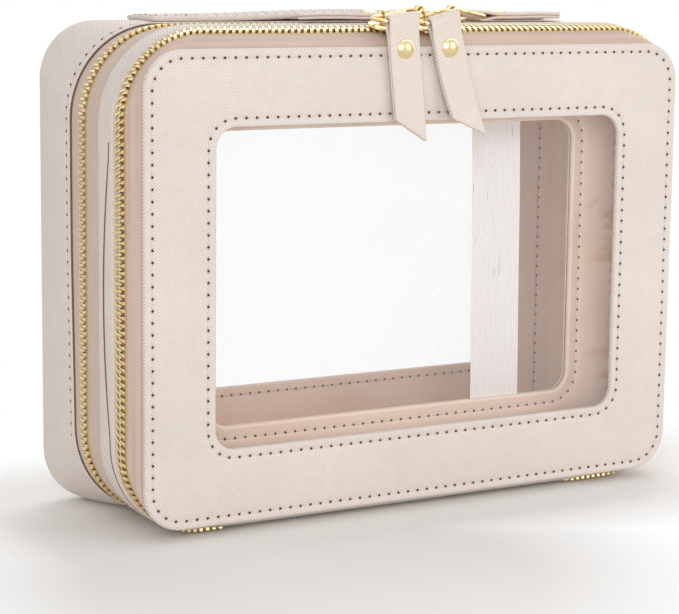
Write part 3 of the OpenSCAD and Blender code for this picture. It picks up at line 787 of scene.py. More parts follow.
front_path, rear_path = legs_of(skin(FRONT_ZIP)), legs_of(skin(REAR_ZIP))
front_span = (ZIP_LEFT, sum(front_path) - ZIP_RIGHT)
rear_span = (ZIP_LEFT, sum(rear_path) - ZIP_RIGHT)
lid_teeth = tooth_row(FRONT_ZIP, *front_span, 1.0, 0.25)
piece("lid_zip_teeth",
      repeated(tooth, [m for s, m in lid_teeth if CLEAR_LEFT <= s <= CLEAR_RIGHT]),
      "brass teeth", "front_lid", ("front_zip_chain_lid",), smooth=False)
piece("lid_zip_teeth_end_left", repeated(tooth, [m for s, m in lid_teeth if s < CLEAR_LEFT]),
      "brass teeth", BENDING, smooth=False)
piece("lid_zip_teeth_end_right", repeated(tooth, [m for s, m in lid_teeth if s > CLEAR_RIGHT]),
      "brass teeth", BENDING, smooth=False)
piece("front_inner_zip_teeth",
      repeated(tooth, [m for _, m in tooth_row(FRONT_ZIP, *front_span, -1.0, 0.75)]),
      "brass teeth", "middle_section", ("front_zip_chain_middle",), smooth=False)
piece("rear_inner_zip_teeth",
      repeated(tooth, [m for _, m in tooth_row(REAR_ZIP, *rear_span, 1.0, 0.25)]),
      "brass teeth", "middle_section", ("rear_zip_chain_middle",), smooth=False)
piece("rear_outer_zip_teeth",
      repeated(tooth, [m for _, m in tooth_row(REAR_ZIP, *rear_span, -1.0, 0.75)]),
      "brass teeth", "back_body", ("rear_zip_chain_back",), smooth=False)
print(f"{len(lid_teeth)} teeth in a row of the front zip")


# %% [markdown]
# ## The middle band
#
# Between the zips runs a band of leathercloth with turned edges. On the sides the cloth is creased along
# its length, where the soft wall wants to fold, and the crease dies away round the upper corners. The dent
# function presses it in only there. Inside lies the lining.

# %% Middle band and its lining
CREASE, CREASE_DEEP = 19.6, 0.5
CREASE_ENDS = (1.1, 1.3, 2.75, 2.95)
CREASE_BOW, CREASE_MIDDLE, CREASE_REACH = 3.3, 85.0, 40.0
band_profile = [
    (0.05, 12.35), (-0.55, 12.5), (-0.95, 12.9), (-1.15, 14.2), (-1.25, 16.5), (-1.12, 18.6), (-0.98, 19.3),
    (-0.9, CREASE), (-0.9, 19.9), (-1.05, 20.5), (-1.15, 22.0), (-1.0, 23.6), (-0.6, 24.4), (0.0, 24.55),
]
band_rows = around(band_profile, 0.9, steps=2)


def crease_strength(share):
    """Full along the sides and the lower corners, and nothing along the top and the bottom."""
    share = min(share % LEGS, LEGS - share % LEGS)
    first, full, fading, last = CREASE_ENDS
    return min(max((share - first) / (full - first), 0), 1) * min(max((last - share) / (last - fading), 0), 1)


def crease_shift(share):
    """How far the crease has wandered forward from its deepest place, half-way up the side."""
    (_, z), _ = spot(SKIN, share)
    return -min(CREASE_BOW * ((z - CREASE_MIDDLE) / CREASE_REACH) ** 2, 5.0)


def crease(row, share):
    outline, depth = band_rows[row]
    near = max(0, 1 - abs(depth - CREASE) / 0.5) if outline[0] > SKIN[0] + 0.3 else 0.0
    weight = min(max((depth - 12.6) / (CREASE - 12.6), 0), 1) * min(max((24.4 - depth) / (24.4 - CREASE), 0), 1)
    return CREASE_DEEP * crease_strength(share) * near, crease_shift(share) * weight


piece("middle_band_cover", wrapped(band_rows, whole_ring(3.0), dent=crease), "leathercloth",
      "middle_section", ("middle_band",))
# A thin dark brown strip down the bottom of each crease is painted shade in the fold.
for side in ("left", "right"):
    line = [(skin(CREASE, inset), CREASE + back) for inset, back in
            ((-0.2, -0.5), (-1.12, -0.5), (-1.22, -0.25), (-1.22, 0.25), (-1.12, 0.5), (-0.2, 0.5))]
    shares = [CREASE_ENDS[0] + (CREASE_ENDS[3] - CREASE_ENDS[0]) * k / 60 for k in range(61)]
    piece(f"crease_painted_shade_{side}",
          wrapped(line, shares if side == "left" else [LEGS - share for share in shares[::-1]], ring=False,
                  dent=lambda row, share: (0.0, crease_shift(share))),
          "edge paint and shade", "middle_section")
inner_wall = [(0.75, 14.55), (0.85, 16.0), (0.9, 19.0), (0.9, 24.0), (1.0, 29.0), (0.95, 33.0)]
piece("middle_wall_lining", wrapped(around(inner_wall, 0.4), spread(0, 8.99)), "lining",
      "middle_section", ("middle_lining", "middle_board"))

# %% [markdown]
# ## Hinge strips
#
# Under the case both zips stop, and a strip of leathercloth takes their place. That strip is the hinge: it
# is all that joins the lid to the middle section, and the middle section to the back.

# %% Two hinge strips
STRIP = spread(-share_at(SKIN, ZIP_RIGHT), ZIP_FROM, (10, 14))
front_strip = [(0.2, 2.35), (0.0, 3.2), (-0.15, 5.5), (-0.3, 9.0), (-0.2, 12.0), (0.0, 15.0)]
piece("front_hinge_cover", wrapped(around(front_strip, 0.7), STRIP, ring=False), "leathercloth",
      "middle_section", ("front_hinge_strip",))
rear_strip = [(-0.75, 24.75), (-0.98, 25.4), (-1.0, 31.0), (-1.0, 38.5), (-1.0, 44.0), (-1.0, 48.4)]
piece("rear_hinge_cover", wrapped(around(rear_strip, 0.7), STRIP, ring=False), "leathercloth",
      "back_body", ("rear_hinge_strip",))

# %% [markdown]
# ## The gusset
#
# The deep wall behind the rear zip is leathercloth over thin foam, so it swells a little between its
# seams. Its front edge is turned and stitched 2.5 mm in, and its rear edge rolls over into the back. Foam
# under cloth makes it a padded piece.

# %% Gusset, outside and inside
GUSSET_FROM, BACK_FACE = 48.5, 79.0
GUSSET_SEAM = GUSSET_FROM + 2.6
ROLL = 6.0
roll = [(ROLL - 1 - ROLL * math.cos(a), BACK_FACE - ROLL + ROLL * math.sin(a))
        for a in (math.radians(d) for d in (0, 22, 45, 68, 90))]
gusset_profile = [
    (-0.1, 48.5), (-0.75, 48.6), (-1.0, 49.2), (-1.02, 50.1), (-0.7, GUSSET_SEAM), (-1.05, 52.1), (-1.4, 56.0),
    (-1.6, 61.0), (-1.45, 67.0), *roll, (ROLL + 2, BACK_FACE),
]
gusset_rows = around(gusset_profile, CLOTH, steps=2)
GUSSET_BOW = 2.5


def lower_side(share):
    """How much of the gusset's forward bow there is: all of it low on the sides, none half-way up."""
    share = min(share % LEGS, LEGS - share % LEGS)
    rise = min(max((2.7 - share) / 0.9, 0), 1)
    return rise ** 2 * (3 - 2 * rise) * min(max((share - 0.9) / 0.5, 0), 1)


def gusset_dent(row, share):
    """Dimples at the needle holes, and a slow unevenness as foam has it."""
    outline, depth = gusset_rows[row]
    leg = int(share % LEGS)
    lengths = legs_of(SKIN)
    distance = sum(lengths[:leg]) + lengths[leg] * (share % LEGS - leg)
    count = round(sum(lengths) / STITCH)
    wave = math.cos(2 * math.pi * (distance / sum(lengths) * count - 0.5))
    off = abs(depth - GUSSET_SEAM)
    pinch = 0.1 * wave * (1 - off / 1.2) if off < 1.2 else 0.0
    (x, z), _ = spot(outline, share)
    edge = GUSSET_BOW * lower_side(share) * min(max((GUSSET_SEAM + 6 - depth) / 6, 0), 1)
    free = min(max((depth - 53) / 5, 0), 1) * min(max((BACK_FACE - 6 - depth) / 5, 0), 1)
    return pinch + 0.5 * free * noise.noise(Vector((x, depth, z)) * 0.025), -edge


gusset = piece("gusset_cover", wrapped(gusset_rows, dense, dent=gusset_dent), "leathercloth",
               "back_body", ("back_gusset",))
# A thin dark brown strip along the gusset's front edge: partly the cut edge's paint, partly painted shadow of
# the gap beside the tape.
paint_and_shadow_section = [(skin(GUSSET_FROM, inset), depth) for inset, depth in
                 ((0.3, 48.15), (-0.15, 48.1), (-0.45, 48.2), (-0.62, 48.42), (-0.4, 48.65), (0.3, 48.65))]
painted = [s for s in dense if ZIP_FROM < s < ZIP_TO]
piece("gusset_edge_paint_and_shadow",
      wrapped(paint_and_shadow_section, painted, ring=False,
              dent=lambda row, share: (0.0, -GUSSET_BOW * lower_side(share))),
      "edge paint and shade", "back_body")
gusset_inner = [(0.9, 41.5), (1.0, 45.5), (1.2, 52.0), (1.5, 62.0), (1.6, 71.0), (2.8, 75.2), (6.0, 77.7),
                (10.5, 78.0)]
piece("rear_wall_lining", wrapped(around(gusset_inner, 0.4), spread(0, 8.99)), "lining",
      "back_body", ("back_gusset_lining", "back_gusset_foam"))

# %% [markdown]
# ## The divider and the back
#
# Both are frames round a window, like the lid, so the same section function makes them. The divider's
# window edge stands up as a ridge, and its seam lies further out. The back has a cover outside and a
# lining inside.

# %% Divider
DIVIDER_SEAM = 4.6
divider_wide = DIVIDER_EDGE[0] - DIVIDER_WINDOW[0]
divider_profile = [
    (0.0, 20.3), (0.0, 19.5), (0.25, 19.0), (0.9, 18.75), (2.0, 18.95), (3.4, 19.1), (DIVIDER_SEAM, 19.4),
    (5.9, 19.05), (12.0, 18.95), (24.0, 19.0), (divider_wide - 3, 19.15), (divider_wide, 19.3),
]
divider_rows = framed(DIVIDER_WINDOW, DIVIDER_EDGE, divider_profile, 0.8, steps=2)
DIVIDER_SEAM_LINE = grown(DIVIDER_WINDOW, DIVIDER_SEAM)
piece("divider_cover",
      wrapped(divider_rows, dense, dent=puckers(divider_rows, [(DIVIDER_SEAM_LINE, 0.12)])),
      "lining", "middle_section", ("divider_frame_front",))
divider_back = [(0.1, 21.9), (0.5, 22.35), (2.0, 22.4), (12.0, 22.5), (divider_wide, 22.4)]
piece("divider_back_cover",
      wrapped(framed(DIVIDER_WINDOW, DIVIDER_EDGE, divider_back, 0.6, side=1), spread(0, 8.99)),
      "lining", "middle_section", ("divider_frame_back", "divider_board"))

# %% Back
back_wide = BACK_PANEL[0] - BACK_WINDOW[0]
BACK_SEAM, BACK_WINDOW_SEAM = grown(BACK_PANEL, -SEAM_IN), grown(BACK_WINDOW, SEAM_IN)
back_profile = [
    (0.0, 79.0), (0.0, 79.5), (0.2, 79.8), (0.75, 80.0), (1.9, 80.0), (SEAM_IN, 79.65), (4.4, 80.0),
    (8.0, 80.2), (14.0, 80.3), (back_wide - 8, 80.2), (back_wide - 4.5, 80.0),
    (back_wide - SEAM_IN, 79.65), (back_wide - 1.9, 80.0), (back_wide - 0.7, 79.95), (back_wide, 79.5),
    (back_wide, 79.1),
]
back_rows = framed(BACK_WINDOW, BACK_PANEL, back_profile, 0.8, steps=2, side=1)
piece("back_cover",
      wrapped(back_rows, dense,
              dent=puckers(back_rows, [(BACK_SEAM, 0.12), (BACK_WINDOW_SEAM, 0.12)], toward=-1.0),
              level=True),
      "leathercloth", "back_body", ("back_panel_frame",))
INSIDE_EDGE = skin(77.0, 9.6)
inside_wide = INSIDE_EDGE[0] - BACK_WINDOW[0]
inside_profile = [
    (0.0, 78.4), (0.1, 77.9), (0.7, 77.6), (2.0, 77.7), (3.3, 77.95), (4.8, 77.7), (inside_wide - 5, 77.6),
    (inside_wide - 3.5, 77.9), (inside_wide - 2, 77.65), (inside_wide, 77.8),
]
inside_rows = framed(BACK_WINDOW, INSIDE_EDGE, inside_profile, 0.5, steps=2)
INSIDE_SEAM, INSIDE_WINDOW_SEAM = grown(INSIDE_EDGE, -3.5), grown(BACK_WINDOW, 3.3)
piece("back_lining",
      wrapped(inside_rows, dense, dent=puckers(inside_rows, [(INSIDE_SEAM, 0.1), (INSIDE_WINDOW_SEAM, 0.1)])),
      "lining", "back_body", ("back_panel_lining", "back_panel_board"))


# %% [markdown]
# ## Elastic band
#
# The elastic holds brushes against the divider. Its rubber cords make it ribbed along its length, and its
# ends are caught between the divider's layers. A grid with one wave per cord is given its thickness.

# %% Elastic
CORD_PITCH = 1.1
elastic_lo, elastic_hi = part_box("elastic_band")
ELASTIC_LEAN = -1.8
bm = bmesh.new()
uv = bm.loops.layers.uv.new("cloth")
cords = round((elastic_hi.x - elastic_lo.x) / MM / CORD_PITCH)
bmesh.ops.create_grid(bm, x_segments=cords * 6, y_segments=40, size=0.5)
for v in bm.verts:
    s, t = v.co.x + 0.5, v.co.y + 0.5
    rib = 0.16 * math.cos(2 * math.pi * cords * s)
    sag = -0.35 * math.sin(math.pi * t) + 0.1 * math.sin(9 * t + 4 * s)
    x = elastic_lo.x / MM + s * (elastic_hi.x - elastic_lo.x) / MM + ELASTIC_LEAN * (t - 0.5)
    z = (elastic_lo.z + t * (elastic_hi.z - elastic_lo.z)) / MM
    v.co = world(x, 20.6 + sag - rib, z)
for face in bm.faces:
    for loop in face.loops:
        loop[uv].uv = (loop.vert.co.z / MM, loop.vert.co.x / MM)
bmesh.ops.solidify(bm, geom=bm.faces, thickness=-0.35 * MM)
piece("elastic_strap", bm, "elastic", "middle_section", ("elastic_band",))


# %% [markdown]
# ## Straps
#
# The carry strap and the four pulls are straps of turned leathercloth: flat, with rounded long edges and
# rounded ends. A strap is again a grid. Its rows walk along the strap's line, and its columns go round the
# flat oval of its section. At both ends the oval closes to nothing, which rounds them off.

# %% A strap along a line
def strap(line, ups, side, width, thickness, shape=None, matrix=None):
    """line is a list of points in mm, ups the direction of the strap's face at each, side its width's
    direction. shape may move the finished points."""
    flat = (width - thickness) / 2
    oval = [(flat * (2 * k / 10 - 1), 0.5) for k in range(11)]
    oval += [(flat + thickness / 2 * math.sin(a), 0.5 * math.cos(a))
             for a in (math.radians(d) for d in (45, 90, 135))]
    oval += [(-x, -y) for x, y in oval]
    bm = bmesh.new()
    uv = bm.loops.layers.uv.new("cloth")
    wide = len(oval) + 1
    bmesh.ops.create_grid(bm, x_segments=wide - 1, y_segments=len(line) - 1, size=1.0)
    bm.verts.ensure_lookup_table()
    run = [0.0]
    for a, b in zip(line, line[1:]):
        run.append(run[-1] + (b - a).length)
    around_oval = [0.0]
    for (xa, ya), (xb, yb) in zip(oval, oval[1:] + oval[:1]):
        around_oval.append(around_oval[-1] + math.hypot(xb - xa, (yb - ya) * thickness))
    for row, (point, up) in enumerate(zip(line, ups)):
        from_end = min(run[row], run[-1] - run[row]) / (thickness / 2)
        full = math.sqrt(max(0, 1 - (1 - min(from_end, 1)) ** 2))
        for column in range(wide):
            x, y = oval[column % len(oval)]
            at = point + side * x + up * (y * thickness * full)
            bm.verts[row * wide + column].co = (shape(at) if shape else at) * MM
    for face in bm.faces:
        for loop in face.loops:
            row, column = divmod(loop.vert.index, wide)
            loop[uv].uv = (run[row], around_oval[column])
    if matrix:
        bmesh.ops.transform(bm, matrix=matrix, verts=bm.verts)
    return bm


def along_line(points, end_step):
    """Points with two more close to each end, so that the ends can round off."""
    first, last = points[0], points[-1]
    out = (points[1] - first).normalized()
    back = (points[-2] - last).normalized()
    return ([first, first + out * end_step * 0.15, first + out * end_step * 0.5] + points[1:-1]
            + [last + back * end_step * 0.5, last + back * end_step * 0.15, last])


# %% Carry strap
handle_lo, handle_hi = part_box("carry_handle")
HANDLE_THICK, HANDLE_END = 2.2, 20.0
HANDLE_SLACK = 0.45  # an empty strap lies flatter than the room that a hand needs
handle_length = (handle_hi.x - handle_lo.x) / MM
handle_width = (handle_hi.y - handle_lo.y) / MM
handle_mid = (handle_hi.y + handle_lo.y) / 2 / MM
handle_rise = HANDLE_SLACK * ((handle_hi.z - handle_lo.z) / MM - HANDLE_THICK)
arch = handle_length / 2 - HANDLE_END


def handle_height(x):
    lift = 0 if abs(x) > arch else handle_rise * (0.5 + 0.5 * math.cos(math.pi * x / arch))
    return handle_lo.z / MM + HANDLE_THICK / 2 + lift


handle_line = along_line(
    [Vector((x, handle_mid, handle_height(x)))
     for x in (handle_length * (k / 60 - 0.5) for k in range(61))], HANDLE_THICK / 2)
piece("carry_strap",
      strap(handle_line, [Vector((0, 0, 1))] * len(handle_line), Vector((0, 1, 0)), handle_width, HANDLE_THICK),
      "leathercloth", "back_body", ("carry_handle",))

# %% [markdown]
# ## Sliders, rings, rivets and pulls
#
# Everything that hangs from a slider takes its place from the frame's joints: the ring turns in the
# slider's eye, and the pull turns on the ring's straight bar. A pull is one strip of leathercloth, folded
# over the bar and riveted. Its line goes up the front, round the bar and down the back, so the fold is
# real. The tip is cut on a slant.

# %% Sizes of the hardware
EYE_HEIGHT, WIRE, RING_WIDE = 5.4, 0.8, 14.8
PULL_WIDE, PULL_SHORT, PULL_LONG, PULL_LAYER = 12.6, 35.7, 45.8, 1.12
RIVET_DROP = 10.6
HANG_TILT = 1.4


def joint_place(name):
    return Vector(joints[name]["pos_m"]) / MM


def revolve(profile, steps, matrix):
    """A turned part: the profile is (radius, height)."""
    bm = bmesh.new()
    verts = [bm.verts.new((r * MM, 0, h * MM)) for r, h in profile]
    edges = [bm.edges.new(pair) for pair in zip(verts, verts[1:])]
    bmesh.ops.spin(bm, geom=verts + edges, cent=(0, 0, 0), axis=(0, 0, 1), angle=math.tau, steps=steps,
                   use_merge=True)
    bmesh.ops.transform(bm, matrix=matrix, verts=bm.verts)
    return bm


def wire(points, radius, matrix, sides=12):
    """A closed ring of round wire through points in the XY plane, given with their outward angle."""
    bm = bmesh.new()
    count = len(points)
    bmesh.ops.create_grid(bm, x_segments=sides, y_segments=count, size=1.0)
    bm.verts.ensure_lookup_table()
    for row in range(count + 1):
        x, y, angle = points[row % count]
        for column in range(sides + 1):
            turn = math.tau * (column % sides) / sides
            out = radius * math.cos(turn)
            bm.verts[row * (sides + 1) + column].co = Vector((
                x + out * math.cos(angle), y + out * math.sin(angle), radius * math.sin(turn))) * MM
    bmesh.ops.transform(bm, matrix=matrix, verts=bm.verts)
    return bm


def ring_points(length):
    half = RING_WIDE / 2
    points = []
    for cx, cy, radius, start in ((half - 4.5, -4.5, 4.5, 0), (4.5 - half, -4.5, 4.5, 90),
                                  (1.6 - half, 1.6 - length, 1.6, 180),
                                  (half - 1.6, 1.6 - length, 1.6, 270)):
        for k in range(10):
            angle = math.radians(start + 10 * k)
            points.append((cx + radius * math.cos(angle), cy + radius * math.sin(angle), angle))
    return points


# %% One pull: strip and rivet
def pull_line():
    gap, wrap = PULL_LAYER / 2 + 0.03, WIRE + 0.25 + PULL_LAYER / 2
    front = [Vector((0, -gap, z)) for z in range(-int(PULL_LONG), -5, 2)]
    bend = [Vector((0, -wrap * math.cos(a), wrap * math.sin(a)))
            for a in (math.radians(d) for d in range(-20, 201, 20))]
    neck = [Vector((0, -gap - 0.25, -4.5)), Vector((0, -gap - 0.7, -2.4))]
    back = [Vector((p.x, -p.y, p.z)) for p in (front + neck)[::-1]]
    return along_line(front + neck + bend + back, PULL_LAYER / 2)


def pull_shape(at, curl):
    """Cuts the tip on a slant, lets the strip bow a little and curls its lower end out by some mm."""
    tip = PULL_SHORT + (PULL_LONG - PULL_SHORT) * (at.x / PULL_WIDE + 0.5)
    hold = RIVET_DROP + 6
    z = at.z if at.z > -hold else -hold + (at.z + hold) * (tip - hold) / (PULL_LONG - hold)
    way = min(max((-z - hold) / (tip - hold), 0), 1)
    return Vector((at.x, at.y - 0.25 * math.sin(math.pi * way) - curl * way ** 2, z))


def facing(line):
    """The direction of the strip's outer face: outwards from the fold."""
    ups = []
    for i, point in enumerate(line):
        run = (line[min(i + 1, len(line) - 1)] - line[max(i - 1, 0)]).normalized()
        ups.append(Vector((0, -run.z, run.y)))
    return ups


LINE = pull_line()
CURLS = {("front", "right"): 3.5, ("front", "left"): 0.4}
rivet_profile = [
    (0.0, 2.55), (0.9, 2.5), (1.7, 2.3), (2.4, 1.95), (2.85, 1.6), (3.0, 1.45), (3.25, 1.5), (3.45, 1.4),
    (3.5, 1.25), (3.4, 1.16), (1.4, 1.14), (1.4, -1.14), (2.7, -1.16), (2.8, -1.5), (2.5, -1.8), (0.0, -1.92),
]
for row in ("front", "rear"):
    for side, turn in (("left", -90), ("right", 90)):
        swing = "swing" if row == "front" else "lift"
        eye = joint_place(f"{row}_ring_{side}_{swing}")
        bar = joint_place(f"{row}_pull_{side}_{swing}")
        if row == "front":
            axis = joints[f"front_pull_{side}_swing"]["axis"]
            heading, tilt = Matrix.Rotation(-math.atan2(axis[2], axis[0]), 4, "Y"), HANG_TILT
        else:
            heading, tilt = Matrix.Rotation(math.radians(turn), 4, "Z"), -90
        reach = heading.inverted() @ (bar - eye)
        droop = Matrix.Rotation(math.asin(-reach.z / reach.length), 4, "X")
        piece(f"{row}_ring_wire_{side}",
              wire(ring_points(reach.length), WIRE, Matrix.Translation(eye * MM) @ heading @ droop),
              "brass hardware", f"{row}_ring_{side}_body", (f"{row}_ring_{side}",))
        hung = Matrix.Translation(bar * MM) @ heading @ Matrix.Rotation(math.radians(tilt), 4, "X")
        piece(f"{row}_pull_strip_{side}",
              strap(LINE, facing(LINE), Vector((1, 0, 0)), PULL_WIDE, PULL_LAYER,
                    lambda at, curl=CURLS.get((row, side), 0.0): pull_shape(at, curl), hung),
              "pull leathercloth", f"{row}_pull_{side}_body", (f"{row}_pull_{side}",))
        out = Matrix.Translation((0, 0, -RIVET_DROP * MM)) @ Matrix.Rotation(math.radians(90), 4, "X")
        piece(f"{row}_rivet_dome_{side}", revolve(rivet_profile, 32, hung @ out),
              "brass hardware", f"{row}_pull_{side}_body", (f"{row}_rivet_{side}",))

# %% [markdown]
# A slider is cast in one piece: two shield-shaped plates, held apart by a wedge between the rows of teeth,
# with low guides along their sides and an eye on top for the ring. The plates are an outline that is
# extruded and beveled, and the eye is a turned ring that stands on a small foot.

# %% Sliders
SLIDER_LONG, SLIDER_WIDE, PLATE = 13.5, 9.6, 1.2
PLATE_LOW, PLATE_HIGH = -3.05, 1.45
SHIELD = ((-0.5, 0.2), (-0.42, 0.3), (-0.2, 0.5), (0.28, 0.5), (0.46, 0.4), (0.5, 0.3))


def plate(bm, low, high, crown):
    """A shield-shaped plate whose upper face is drawn in and raised by crown."""
    outline = [(x * SLIDER_LONG, y * SLIDER_WIDE) for x, y in SHIELD]
    outline += [(x, -y) for x, y in outline[::-1]]
    flat = bm.faces.new([bm.verts.new((x, y, low)) for x, y in outline])
    risen = bmesh.ops.extrude_face_region(bm, geom=[flat])["geom"]
    top = [v for v in risen if isinstance(v, bmesh.types.BMVert)]
    bmesh.ops.translate(bm, vec=(0, 0, high - low), verts=top)
    face = next(f for f in risen if isinstance(f, bmesh.types.BMFace))
    bmesh.ops.inset_region(bm, faces=[face], thickness=1.3, depth=0)
    bmesh.ops.translate(bm, vec=(0, 0, crown), verts=face.verts)


def slider_mesh(row):
    bm = bmesh.new()
    plate(bm, PLATE_HIGH, PLATE_HIGH + PLATE * 0.7, PLATE * 0.3)
    plate(bm, PLATE_LOW, PLATE_LOW + PLATE * 0.8, PLATE * 0.2)
    edges = [e for e in bm.edges if e.calc_face_angle(0) > math.radians(50)]
    bmesh.ops.bevel(bm, geom=edges, offset=0.3, segments=2, profile=0.5, affect="EDGES", material=-1)
    post = Matrix.Translation((SLIDER_LONG * 0.33, 0, (PLATE_LOW + PLATE_HIGH) / 2 + 0.5))
    bmesh.ops.create_cone(bm, cap_ends=True, segments=12, radius1=0.9, radius2=0.9,
                          depth=PLATE_HIGH - PLATE_LOW - 0.3, matrix=post)
    for y in (-1, 1):
        for z, h in ((PLATE_HIGH - 0.35, 0.9), (PLATE_LOW + PLATE + 0.25, 0.7)):
            rail = bmesh.ops.create_cube(bm, size=1.0)["verts"]
            bmesh.ops.scale(bm, vec=(SLIDER_LONG * 0.44, 0.7, h), verts=rail)
            bmesh.ops.translate(bm, vec=(SLIDER_LONG * 0.04, y * (SLIDER_WIDE / 2 - 0.4), z), verts=rail)
    foot = bmesh.ops.create_cube(bm, size=1.0)["verts"]
    long, wide = (3.4, 2.0) if row == "rear" else (2.0, 3.4)
    bmesh.ops.scale(bm, vec=(long, wide, 1.6), verts=foot)
    bmesh.ops.translate(bm, vec=(0, 0, PLATE_HIGH + PLATE + 0.2), verts=foot)
    bmesh.ops.bevel(bm, geom=list({e for v in foot for e in v.link_edges}), offset=0.35, segments=2,
                    profile=0.5, affect="EDGES", material=-1)
    return bm


def eye_mesh(row):
    """The eye: a ring turned about the line of its hole."""
    bm = bmesh.new()
    profile = [(1.15, -0.9), (1.15, 0.9), (1.5, 1.15), (1.95, 0.95), (2.15, 0.4), (2.15, -0.4), (1.95, -0.95),
               (1.5, -1.15)]
    verts = [bm.verts.new((r, 0, h)) for r, h in profile]
    edges = [bm.edges.new((verts[i], verts[(i + 1) % len(verts)])) for i in range(len(verts))]
    bmesh.ops.spin(bm, geom=verts + edges, cent=(0, 0, 0), axis=(0, 0, 1), angle=math.tau, steps=24,
                   use_merge=True)
    axis = "Y" if row == "front" else "X"
    bmesh.ops.rotate(bm, cent=(0, 0, 0), matrix=Matrix.Rotation(math.radians(90), 3, axis), verts=bm.verts)
    bmesh.ops.translate(bm, vec=(0, 0, EYE_HEIGHT), verts=bm.verts)
    return bm


def sloped(depth):
    """The slope of the zip's face at the top of the case."""
    low, high = skin(depth - 2.5), skin(depth + 2.5)
    return math.atan2(high[1] + high[3] - low[1] - low[3], 5)


for row in ("front", "rear"):
    for side, flip in (("left", 1), ("right", -1)):
        eye = joint_place(f"{row}_ring_{side}_" + ("swing" if row == "front" else "lift"))
        foot_place = Matrix.Translation((eye - Vector((0, 0, EYE_HEIGHT))) * MM)
        slope = sloped(FRONT_ZIP) if row == "front" else 0.0
        shape = slider_mesh(row)
        bmesh.ops.scale(shape, vec=(flip, 1, 1), verts=shape.verts)
        bmesh.ops.rotate(shape, cent=(0, 0, 0), matrix=Matrix.Rotation(slope, 3, "X"), verts=shape.verts)
        loop = bpy.data.meshes.new("eye")
        eye_shape = eye_mesh(row)
        eye_shape.to_mesh(loop)
        eye_shape.free()
        shape.from_mesh(loop)
        bpy.data.meshes.remove(loop)
        bmesh.ops.scale(shape, vec=(MM, MM, MM), verts=shape.verts)
        bmesh.ops.transform(shape, matrix=foot_place, verts=shape.verts)
        piece(f"{row}_slider_cast_{side}", shape, "brass hardware", f"{row}_slider_{side}_body",
              (f"{row}_slider_{side}",))
print("4 sliders with rings, pulls and rivets")


# %% [markdown]
# ## Stitches
#
# A lockstitch shows as a row of short threads, each sinking into a needle hole at both ends. The thread is
# a small flattened sphere, and the hole a small dark brown cone at the cloth's face, painted shade in the
# hole. Both are set down along the seams at the stitch length of 4.15 mm, and each seam's thread and pits
# are one piece each.

# %% Threads and pits
THREAD_LONG, THREAD_WIDE = 3.1, 0.55
PIT_RADIUS = 0.5


def thread_mesh():
    bm = bmesh.new()
    bmesh.ops.create_uvsphere(bm, u_segments=6, v_segments=5, radius=0.5 * MM)
    bmesh.ops.rotate(bm, cent=(0, 0, 0), matrix=Matrix.Rotation(math.radians(90), 3, "Y"), verts=bm.verts)
    bmesh.ops.scale(bm, vec=(THREAD_LONG, THREAD_WIDE, THREAD_WIDE), verts=bm.verts)
    mesh = bpy.data.meshes.new("thread")
    bm.to_mesh(mesh)
    bm.free()
    return mesh


def pit_mesh():
    bm = bmesh.new()
    bmesh.ops.create_cone(bm, cap_ends=True, segments=8, radius1=PIT_RADIUS * 0.6 * MM,
                          radius2=PIT_RADIUS * MM, depth=0.3 * MM)
    mesh = bpy.data.meshes.new("hole_shadow")
    bm.to_mesh(mesh)
    bm.free()
    return mesh


stitch_thread, needle_pit = thread_mesh(), pit_mesh()


def seam_place(outline, depth, share, face):
    """A place on a flat seam: X along it, Z out of the cloth, which faces the front (-1) or the back (1)."""
    (x, z), (out_x, out_z) = spot(outline, share)
    along = Vector((out_z, 0, -out_x))
    out = Vector((0, face, 0))
    turned = Matrix((along, out.cross(along), out)).transposed().to_4x4()
    return Matrix.Translation(world(x, depth, z)) @ turned


def sew(name, body, threads, pits):
    piece(f"{name}_stitches", repeated(stitch_thread, threads), "thread", body)
    piece(f"{name}_needle_hole_shade", repeated(needle_pit, pits), "needle hole", body, smooth=False)


def flat_seam(name, outline, depth, face, body):
    rise = 0.12 * face
    threads = [seam_place(outline, depth + rise, s, face) for s in stations(outline, STITCH, phase=0.0)]
    pits = [seam_place(outline, depth + 0.1 * face, s, face) for s in stations(outline, STITCH, phase=0.5)]
    sew(name, body, threads, pits)


flat_seam("lid_edge", LID_SEAM, 0.42, -1, "front_lid")
flat_seam("lid_window_edge", LID_WINDOW_SEAM, 0.4, -1, "front_lid")
flat_seam("divider_window_edge", DIVIDER_SEAM_LINE, 19.4, -1, "middle_section")
flat_seam("back_edge", BACK_SEAM, 79.65, 1, "back_body")
flat_seam("back_window_edge", BACK_WINDOW_SEAM, 79.65, 1, "back_body")
flat_seam("back_lining_edge", INSIDE_SEAM, 77.9, -1, "back_body")
flat_seam("back_lining_window", INSIDE_WINDOW_SEAM, 77.95, -1, "back_body")


def gusset_places(phase, rise):
    return [skin_frame(GUSSET_SEAM - GUSSET_BOW * lower_side(s), s, -rise)
            for s in stations(SKIN, STITCH, phase=phase)]


sew("gusset_edge", "back_body", gusset_places(0.0, 0.8), gusset_places(0.5, 0.7))

